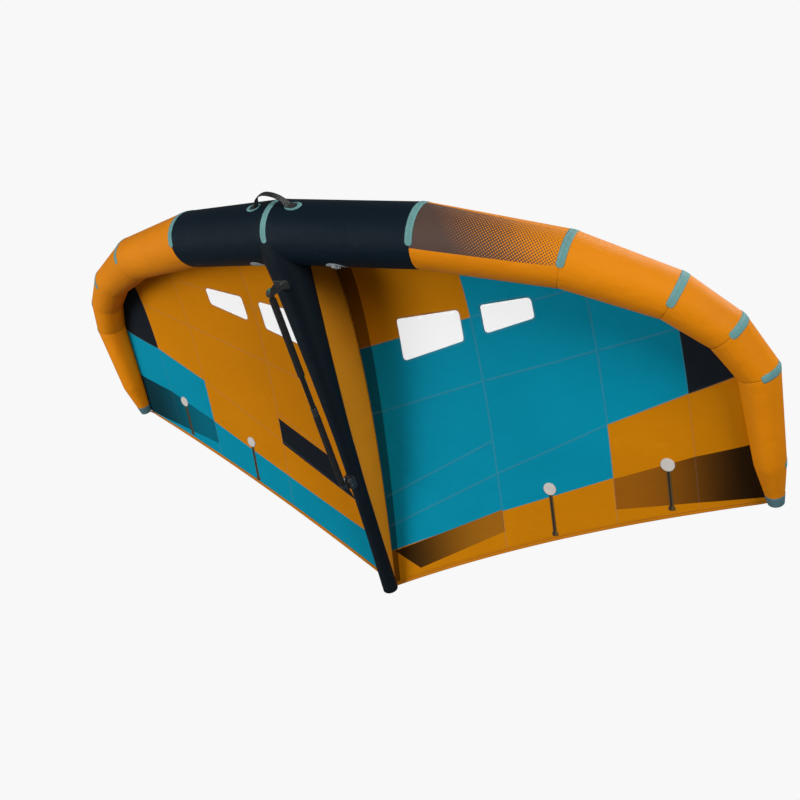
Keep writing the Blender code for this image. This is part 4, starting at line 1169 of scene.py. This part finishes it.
fresh_material("ring_tape", TAPE_TEAL, 0.1)
u, v = uv_of()
rows = dotted_rows(v, (0.0030, 0.0085), 0.0008, u, 0.0040, -0.3)
RING_CLOTH = finish(blended(rows, dyed(TAPE_TEAL, 25.0, 0.12), (0.34, 0.55, 0.56)),
                    (60.0, 0.5, 0.7), maths("MULTIPLY_ADD", rows, 2.5, wavy(u, 0.0016)), 0.0002)
ring_bm = tube_patch(RING_AT / INNER_RUN, HANDLE_ANGLE, RING_HALF_RUN, RING_HALF_ROUND, 0.0002)
left_of(sewn("handle_ring_r", ring_bm, RING_CLOTH, "handle_patch_r"),
        "handle_ring_l", "handle_patch_l")
PAD_CLOTH = rubbery("handle_pad_cloth", (0.0060, 0.0090, 0.0120), 0.6, 80.0, 0.0003, 0.15)
pad_bm = tube_patch((RING_AT - 0.004) / INNER_RUN, HANDLE_ANGLE, RING_HALF_RUN * PAD_SHARE,
                    RING_HALF_ROUND * PAD_SHARE, 0.0008)
left_of(sewn("handle_pad_r", pad_bm, PAD_CLOTH), "handle_pad_l")

loop_path = [(-HANDLE_END, 0.0), (-HANDLE_END + 0.012, 0.0), (-HANDLE_HALF_SPAN - 0.005, 0.0)]
loop_path += [(HANDLE_HALF_SPAN * cos(turn), HANDLE_HEIGHT * sin(turn))
              for turn in spread(pi - 0.20, 0.20, 11)]
loop_path += [(-x, height) for x, height in reversed(loop_path[:3])]
for _ in range(2):  # the corners of the path are cut off twice
    eased = [loop_path[0]]
    for near, far in zip(loop_path, loop_path[1:]):
        near, far = Vector(near), Vector(far)
        eased += [near.lerp(far, 0.25), near.lerp(far, 0.75)]
    loop_path = eased + [loop_path[-1]]
strap_length = sum(dist(a, b) for a, b in zip(loop_path, loop_path[1:]))

# Nylon webbing: lengthwise ribs over a tight weave, with three rows of stitches across each foot
fresh_material("webbing", WEBBING_BLACK, 0.35)
u, v = uv_of()
rows = dotted_rows(maths("PINGPONG", v, strap_length / 2), (0.006, 0.012, 0.026), 0.0007, u,
                   0.0030, -0.4)
ribs = maths("MULTIPLY_ADD", wavy(u, 0.0024), 0.6, times(wavy(v, 0.0014), 0.4))
WEBBING = finish(blended(rows, dyed(WEBBING_BLACK, 30.0, 0.2), (0.12, 0.12, 0.12)),
                 (50.0, 0.36, 0.50), maths("MULTIPLY_ADD", rows, 2.0, ribs), 0.00025)


def squared(value):
    return copysign(abs(value) ** 0.7, value)


def on_strap(turn, index):
    x, height = loop_path[index]
    before, after = loop_path[max(index - 1, 0)], loop_path[min(index + 1, len(loop_path) - 1)]
    run, climb = after[0] - before[0], after[1] - before[1]
    length = hypot(run, climb)
    raised = min(height / HANDLE_LIFT_OFF, 1.0)
    aside = (HANDLE_WIDTH + (HANDLE_NARROW - HANDLE_WIDTH) * raised) / 2 * squared(cos(turn))
    through = HANDLE_THICKNESS * (0.72 + 0.5 * raised) / 2 * squared(sin(turn))
    settle = -aside * aside / (2 * TUBE_RADIUS) * (1 - raised)
    seat = tube_point(x / INNER_RUN, HANDLE_ANGLE, 0.0016 + HANDLE_THICKNESS * 0.36 + settle)
    return (seat + HANDLE_OUT * (height + through * run / length)
            - SIDEWAYS * (through * climb / length) + SIDEWAYS.cross(HANDLE_OUT) * aside)


strap_bm = laid(on_strap, spread(0.0, tau, 28), range(len(loop_path)), closed=True)
sewn("handle_loop", closed_up(strap_bm), WEBBING, "handle_strap")

# Boom: a straight carbon tube under the strut, sleeved at both ends with foam grips. Between
# them it is bare and glossy, with a grooved plastic collar against the rear grip.
BOOM_LENGTH = 0.92
BOOM_TILT = Matrix.Rotation(radians(3), 4, "X")
BOOM_RADIUS = 0.0110
BOOM_WALL = 0.0016
TUBE_EASE = 0.0003
GRIP_RADIUS = BOOM_RADIUS + 0.0036
GRIP_SETBACK = 0.012
GRIP_ROUND = 0.0026
BARE_FRONT = 0.096
BARE_REAR = 0.098
COLLAR_LENGTH = 0.040
COLLAR_WALL = 0.0022
COLLAR_GROOVES = (0.0090, 0.0155, 0.0220, 0.0285)
GROOVE_DEPTH = 0.0009
FIT_GAP = 0.0003
TOW = 0.0022
FOAM_BLACK = (0.0125, 0.0130, 0.0135)


def turned(profile, sides=48, start=0.0):
    """Turns (radius, place) points round the boom's axis, with threads mapped in metres."""
    return laid(lambda turn, corner: Vector(
        (corner[0] * sin(turn), start + corner[1], corner[0] * cos(turn))),
        spread(0.0, tau, sides), profile, closed=True)


def on_boom(name, bm, stuffs, node, body="boom", bevel=0.0, segments=3):
    """Seats a piece in the boom's tilted frame, with its moulded edges rounded."""
    bm.transform(BOOM_TILT)
    piece = sewn(name, bm, stuffs, node, body, crease=35)
    if bevel:
        edge = piece.modifiers.new("Edges", "BEVEL")
        edge.width, edge.segments = bevel, segments
        edge.limit_method = "ANGLE"
        edge.angle_limit = radians(28)
    return piece


fresh_material("carbon", (0.004, 0.004, 0.0045), 0.4, Coat_Weight=0.6, Coat_Roughness=0.06)
# Two by two twill: the over tows are painted lighter than the under ones, a painted sheen of the
# fibres; the same mask raises them a little in the relief
steps = added(*(maths("FLOOR", maths("DIVIDE", way, TOW)) for way in uv_of()))
over = maths("LESS_THAN", maths("FLOORED_MODULO", steps, 4.0), 2.0)
CARBON = finish(blended(over, (0.0022, 0.0022, 0.0026), (0.0062, 0.0062, 0.0070)),
                (18.0, 0.18, 0.30), over, 0.00004)
tube_end = BOOM_LENGTH / 2
bore, eased = BOOM_RADIUS - BOOM_WALL, BOOM_RADIUS - TUBE_EASE
tube_stops = [(eased, -tube_end), (BOOM_RADIUS, TUBE_EASE - tube_end)]
tube_stops += [(BOOM_RADIUS, y) for y in spread(0.02 - tube_end, tube_end - 0.02, 22)]
tube_stops += [(BOOM_RADIUS, tube_end - TUBE_EASE), (eased, tube_end), (bore, tube_end),
               (bore, -tube_end), (eased, -tube_end)]
on_boom("boom_tube_carbon", turned(tube_stops), CARBON, "boom_tube")

# Moulded foam with a fine diamond pattern pressed into it
fresh_material("foam_grip", FOAM_BLACK, 0.2)
u, v = uv_of()
diamonds = times(wavy(added(u, v), 0.0062), wavy(less(u, v), 0.0062))
grain = between(uneven(900.0, 2.0), 0.3, 0.7, -0.4, 0.4, "LINEAR")
GRIP_FOAM = finish(dyed(FOAM_BLACK, 40.0, 0.22), (70.0, 0.74, 0.92), added(diamonds, grain),
                   0.0004)
fit = BOOM_RADIUS + FIT_GAP
for name, start, end in (("grip_front", GRIP_SETBACK - tube_end, -BARE_FRONT),
                         ("grip_rear", BARE_REAR, tube_end - GRIP_SETBACK)):
    corner = [(GRIP_RADIUS - GRIP_ROUND * (1 - sin(turn)), GRIP_ROUND * (1 - cos(turn)))
              for turn in spread(0.0, pi / 2, 5)]
    stops = [(fit, start)] + [(r, start + y) for r, y in corner]
    stops += [(GRIP_RADIUS, y) for y in spread(start + 0.012, end - 0.012, 18)]
    stops += [(r, end - y) for r, y in reversed(corner)] + [(fit, end), (fit, start)]
    on_boom(name + "_foam", turned(stops), GRIP_FOAM, name)

MOULDED = rubbery("moulded_nylon", (0.0200, 0.0205, 0.0215), 0.40, 160.0, 0.00003, 0.5)
top = fit + COLLAR_WALL
collar_stops = [(fit, 0.0), (top - 0.0008, 0.0), (top, 0.0010)]
for y in COLLAR_GROOVES:
    collar_stops += [(top, y), (top - GROOVE_DEPTH, y + 0.0006),
                     (top - GROOVE_DEPTH, y + 0.0020), (top, y + 0.0026)]
collar_stops += [(top, COLLAR_LENGTH - 0.0010), (top - 0.0008, COLLAR_LENGTH),
                 (fit, COLLAR_LENGTH), (fit, 0.0)]
collar_bm = turned(collar_stops, start=BARE_REAR - FIT_GAP - COLLAR_LENGTH)
on_boom("boom_collar_grooved", collar_bm, MOULDED, "boom_collar")

# Boom fittings: moulded nylon. The elbow closes the front end, carries the release button and
# plugs upward into the front base; the flat tongue at the rear swings on a steel pin between
# the cheeks of the rear base. Both bases are moulded to the round of the strut.
FITTING_WIDTH = 0.022
ELBOW_DEPTH = 0.026
ELBOW_HEIGHT = 0.042
ELBOW_DROP = 0.014
ELBOW_CHAMFER = 0.009
ELBOW_FLARE = 0.45
ELBOW_WAIST = 0.0035
NECK_START = 0.0098
SPIGOT_RADIUS = 0.0075
SPIGOT_LENGTH = 0.008
SOCKET_GAP = 0.0007
SOCKET_ROOF = 0.0010
BUTTON_RADIUS = 0.0065
BUTTON_RISE = 0.0024
BUTTON_LENGTH = 0.011
BUTTON_TRAVEL = 0.0040
BUTTON_PROUD = 0.0050
BASE_WIDTH = 0.044
BASE_HALF = 0.031
SADDLE_WIDE = (0.0165, 0.047)
SADDLE_LONG = (0.0137, 0.0230)
SADDLE_SEATED = 0.93
BASE_SINK = 0.0014
PIN_RISE = 0.034
PIN_BEHIND = 0.022
PIN_RADIUS = 0.0030
PIN_PROUD = 0.0012
TONGUE_WIDTH = 0.014
KNUCKLE_RADIUS = 0.0090
REAR_DROP = 0.010


def rim_edges(bm, radius, matrix):
    """The edges of a new circle."""
    rim = bmesh.ops.create_circle(bm, segments=32, radius=radius, matrix=matrix)
    return list({edge for vert in rim["verts"] for edge in vert.link_edges})


def plate(outline, width, bore=None):
    """A block of this width cut to a side outline; a bore is (y, z, radius)."""
    bm = bmesh.new()
    corners = [bm.verts.new((-width / 2, y, z)) for y, z in outline]
    edges = [bm.edges.new(pair) for pair in zip(corners, corners[1:] + corners[:1])]
    if bore:
        edges += rim_edges(bm, bore[2], crosswise(-width / 2, bore[0], bore[1]))
        bmesh.ops.bridge_loops(bm, edges=edges)
    else:
        bmesh.ops.contextual_create(bm, geom=edges)
    pulled = bmesh.ops.extrude_face_region(bm, geom=bm.faces[:])
    bmesh.ops.translate(bm, verts=only(bmesh.types.BMVert, pulled["geom"]), vec=(width, 0, 0))
    bmesh.ops.recalc_face_normals(bm, faces=bm.faces)
    return bm


def rounded_in(bm, at, radius, push):
    """Sinks a round bore into the flat face at a point, or raises a round boss from it."""
    face = min(bm.faces, key=lambda f: (f.calc_center_bounds() - Vector(at)).length)
    normal = face.normal.copy()
    ring = rim_edges(bm, radius, Matrix.Translation(at) @ normal.to_track_quat(
        "Z", "Y").to_matrix().to_4x4())
    around = list(face.edges)
    bmesh.ops.delete(bm, geom=[face], context="FACES_ONLY")
    bmesh.ops.bridge_loops(bm, edges=around + ring)
    pulled = bmesh.ops.extrude_edge_only(bm, edges=ring)["geom"]
    moved = only(bmesh.types.BMVert, pulled)
    bmesh.ops.translate(bm, verts=moved, vec=normal * push)
    bmesh.ops.contextual_create(bm, geom=[
        edge for edge in only(bmesh.types.BMEdge, pulled) if all(v in moved for v in edge.verts)])
    bmesh.ops.recalc_face_normals(bm, faces=bm.faces)


elbow_face = -tube_end - FIT_GAP
elbow_front = elbow_face - ELBOW_DEPTH
spigot_y = (elbow_face + elbow_front) / 2
elbow_bm = plate((
    (elbow_face, -ELBOW_DROP + 0.003), (elbow_face, ELBOW_HEIGHT), (elbow_front, ELBOW_HEIGHT),
    (elbow_front, ELBOW_CHAMFER - ELBOW_DROP), (elbow_front + ELBOW_CHAMFER, -ELBOW_DROP),
    (elbow_face - 0.003, -ELBOW_DROP)), FITTING_WIDTH)
sides = [face for face in elbow_bm.faces if abs(face.normal.x) > 0.9]
bmesh.ops.inset_individual(elbow_bm, faces=sides, thickness=0.0032)
bmesh.ops.inset_individual(elbow_bm, faces=sides, thickness=0.0006, depth=-0.0007)
for level in spread(NECK_START, ELBOW_HEIGHT - 0.004, 5):
    bmesh.ops.bisect_plane(
        elbow_bm, geom=elbow_bm.verts[:] + elbow_bm.edges[:] + elbow_bm.faces[:],
        dist=1e-6, plane_co=(0, 0, level), plane_no=(0, 0, 1))
for vert in elbow_bm.verts:
    up = max(vert.co.z - NECK_START, 0.0) / (ELBOW_HEIGHT - NECK_START)
    vert.co.x *= 1 + ELBOW_FLARE * up * up
    if vert.co.y < spigot_y:
        vert.co.y += ELBOW_WAIST * sin(pi * up)
rounded_in(elbow_bm, (0, elbow_front, BUTTON_RISE), BUTTON_RADIUS + FIT_GAP,
           -(BUTTON_LENGTH - BUTTON_PROUD + BUTTON_TRAVEL + SOCKET_ROOF))
rounded_in(elbow_bm, (0, spigot_y, ELBOW_HEIGHT), SPIGOT_RADIUS, SPIGOT_LENGTH)
on_boom("elbow_moulded", elbow_bm, MOULDED, "boom_elbow", bevel=0.0012)

BUTTON_GREEN = rubbery("button_green", (0.050, 0.200, 0.130), 0.4, 60.0, 0.0002, 0.4)
button_bm = turned([
    (0.0, 0.0007), (0.0030, 0.0004), (0.0042, 0.0), (0.0056, 0.0), (0.0063, 0.0005),
    (BUTTON_RADIUS, 0.0014), (BUTTON_RADIUS, BUTTON_LENGTH), (0.0, BUTTON_LENGTH)], 40,
    elbow_front - BUTTON_PROUD)
on_boom("button_green", button_bm, BUTTON_GREEN, "release_button",
        "release_button_body")


def under_strut(x, y):
    """Level, in the boom's frame, of the strut's underside above a place."""
    level = (BOOM_TILT @ Vector((x, y, 0.055))).y
    radius = strut_radius(level) - BASE_SINK
    under = Vector((x, level, STRUT_Z - sqrt(max(radius ** 2 - x * x, 0.0))))
    return (BOOM_TILT.inverted() @ under).z


def front_base_point(turn, share):
    """The saddle, cut off at its corners: narrow at the socket, flaring out along the strut."""
    flare = share ** 2.2
    wide, long = (near + (far - near) * flare for near, far in (SADDLE_WIDE, SADDLE_LONG))
    cosine, sine = cos(turn), sin(turn)
    reach = min(wide / max(abs(cosine), 1e-6), long / max(abs(sine), 1e-6),
                (wide + long - 0.003 - 0.005 * flare) / (abs(cosine) + abs(sine)))
    x, y = reach * cosine, reach * sine + spigot_y - 0.001 * flare
    rise = (under_strut(x, y) - base_floor) * min(share / SADDLE_SEATED, 1.0) ** 0.9
    return Vector((x, y, base_floor + rise))


base_floor = ELBOW_HEIGHT + FIT_GAP
base_bm = closed_up(laid(front_base_point, spread(0.0, tau, 72),
                         spread(0.0, SADDLE_SEATED, 9) + [1.0], closed=True))
rounded_in(base_bm, (0, spigot_y, base_floor), SPIGOT_RADIUS + SOCKET_GAP,
           -(SPIGOT_LENGTH + SOCKET_ROOF))
on_boom("front_base_moulded", base_bm, MOULDED, "boom_base_front", "wing", 0.0010)

rear_face = tube_end + FIT_GAP
pin_y = tube_end + PIN_BEHIND
tongue = [(pin_y + KNUCKLE_RADIUS * cos(turn), PIN_RISE + KNUCKLE_RADIUS * sin(turn))
          for turn in spread(-pi / 4, pi * 3 / 4, 12)]
tongue += [(rear_face, BOOM_RADIUS), (rear_face, -REAR_DROP), (pin_y - KNUCKLE_RADIUS, -REAR_DROP),
           (tongue[0][0], BOOM_RADIUS)]
tongue_bm = plate(tongue, TONGUE_WIDTH, (pin_y, PIN_RISE, PIN_RADIUS + FIT_GAP))
on_boom("rear_tongue", tongue_bm, MOULDED, "boom_rear_fitting", bevel=0.0008,
        segments=2)

cheek_low = PIN_RISE - KNUCKLE_RADIUS
slot_half = (TONGUE_WIDTH + SOCKET_GAP) / 2
slot_top = PIN_RISE + KNUCKLE_RADIUS + SOCKET_GAP
half = BASE_WIDTH / 2


def rear_base_point(corner, stop):
    """Section of the rear base: a bridge over the slot and two cheeks with cut-off ends."""
    x, z = corner
    y, rise = stop
    x *= 1 - rise * 7
    if z is None:
        return Vector((x, y, under_strut(x, y)))
    return Vector((x, y, z + rise if z < slot_top - 0.001 else z))


cheeks = [(-half, None), (-half, cheek_low + 0.004), (-half + 0.004, cheek_low),
          (-slot_half, cheek_low), (-slot_half, slot_top)]
cheeks += [(-x, z) for x, z in reversed(cheeks)]
cheeks += [(half * share, None) for share in (0.7, 0.35, 0.0, -0.35, -0.7, -1.0)]
rear_bm = closed_up(laid(rear_base_point, cheeks, [
    (pin_y - BASE_HALF, 0.011), (pin_y - 0.015, 0.0), (pin_y + 0.013, 0.0),
    (pin_y + BASE_HALF, 0.011)], closed=True))
on_boom("rear_base_moulded", rear_bm, MOULDED, "boom_base_rear", "wing", 0.0010)

pin_half = half + PIN_PROUD
STEEL = rubbery("pin_steel", (0.42, 0.42, 0.43), 0.28, 80.0, 0.00005, 0.5, Metallic=1.0)
pin_bm = spun([(0.0, -pin_half), (0.0022, -pin_half), (PIN_RADIUS, 0.0008 - pin_half),
               (PIN_RADIUS, pin_half - 0.0008), (0.0022, pin_half), (0.0, pin_half)], 32)
pin_bm.transform(crosswise(0, pin_y, PIN_RISE))
on_boom("steel_pin", pin_bm, STEEL, "hinge_pin", "wing")

# Stage: nothing but a pale world, with no floor, because the camera looks up from below. A broad
# lamp shines from the left and below, one from the right in front, and a weaker one from above.
PALE = (0.94, 0.94, 0.94)
FILL = 0.15
LAMPS = (("lamp_left", (-4.9, -2.9, -6.7), (0.0, 0.2, 0.2), 4.2, 630),
         ("lamp_right", (7.0, -5.0, -2.6), (0.0, 0.2, 0.2), 3.5, 570),
         ("lamp_above", (2.0, -2.5, 6.0), (0.0, 0.3, 0.2), 4.0, 330))

stuff = bpy.context.scene.world = bpy.data.worlds.new("pale_world")
stuff.use_nodes = True
stuff.node_tree.nodes.clear()
seen = add_node("LightPath").outputs
direct = maths("MAXIMUM", seen["Is Camera Ray"], seen["Is Transmission Ray"])
sky = add_node("Background", {0: PALE, 1: between(direct, 0.0, 1.0, FILL, 1.0, "LINEAR")})
add_node("OutputWorld", {0: sky.outputs[0]})

for name, place, target, size, power in LAMPS:
    data = bpy.data.lights.new(name, "AREA")
    data.shape = "RECTANGLE"
    data.size = data.size_y = size
    data.energy = power
    lamp = shown(name, data)
    lamp.location = place
    lamp.rotation_mode = "QUATERNION"
    lamp.rotation_quaternion = (Vector(target) - Vector(place)).to_track_quat("-Z", "Y")
    lamp.visible_camera = False

camera = shown("camera", bpy.data.cameras.new("camera"))
camera.data.lens = 43.25
camera.data.sensor_width = 36
camera.matrix_world = Matrix((
    (0.8086, -0.0879, 0.5817, 2.5692), (0.2370, -0.8563, -0.4589, -1.6890),
    (0.5385, 0.5089, -0.6716, -2.4286), (0, 0, 0, 1)))
bpy.context.scene.camera = camera
bpy.context.scene.view_settings.view_transform = "Standard"
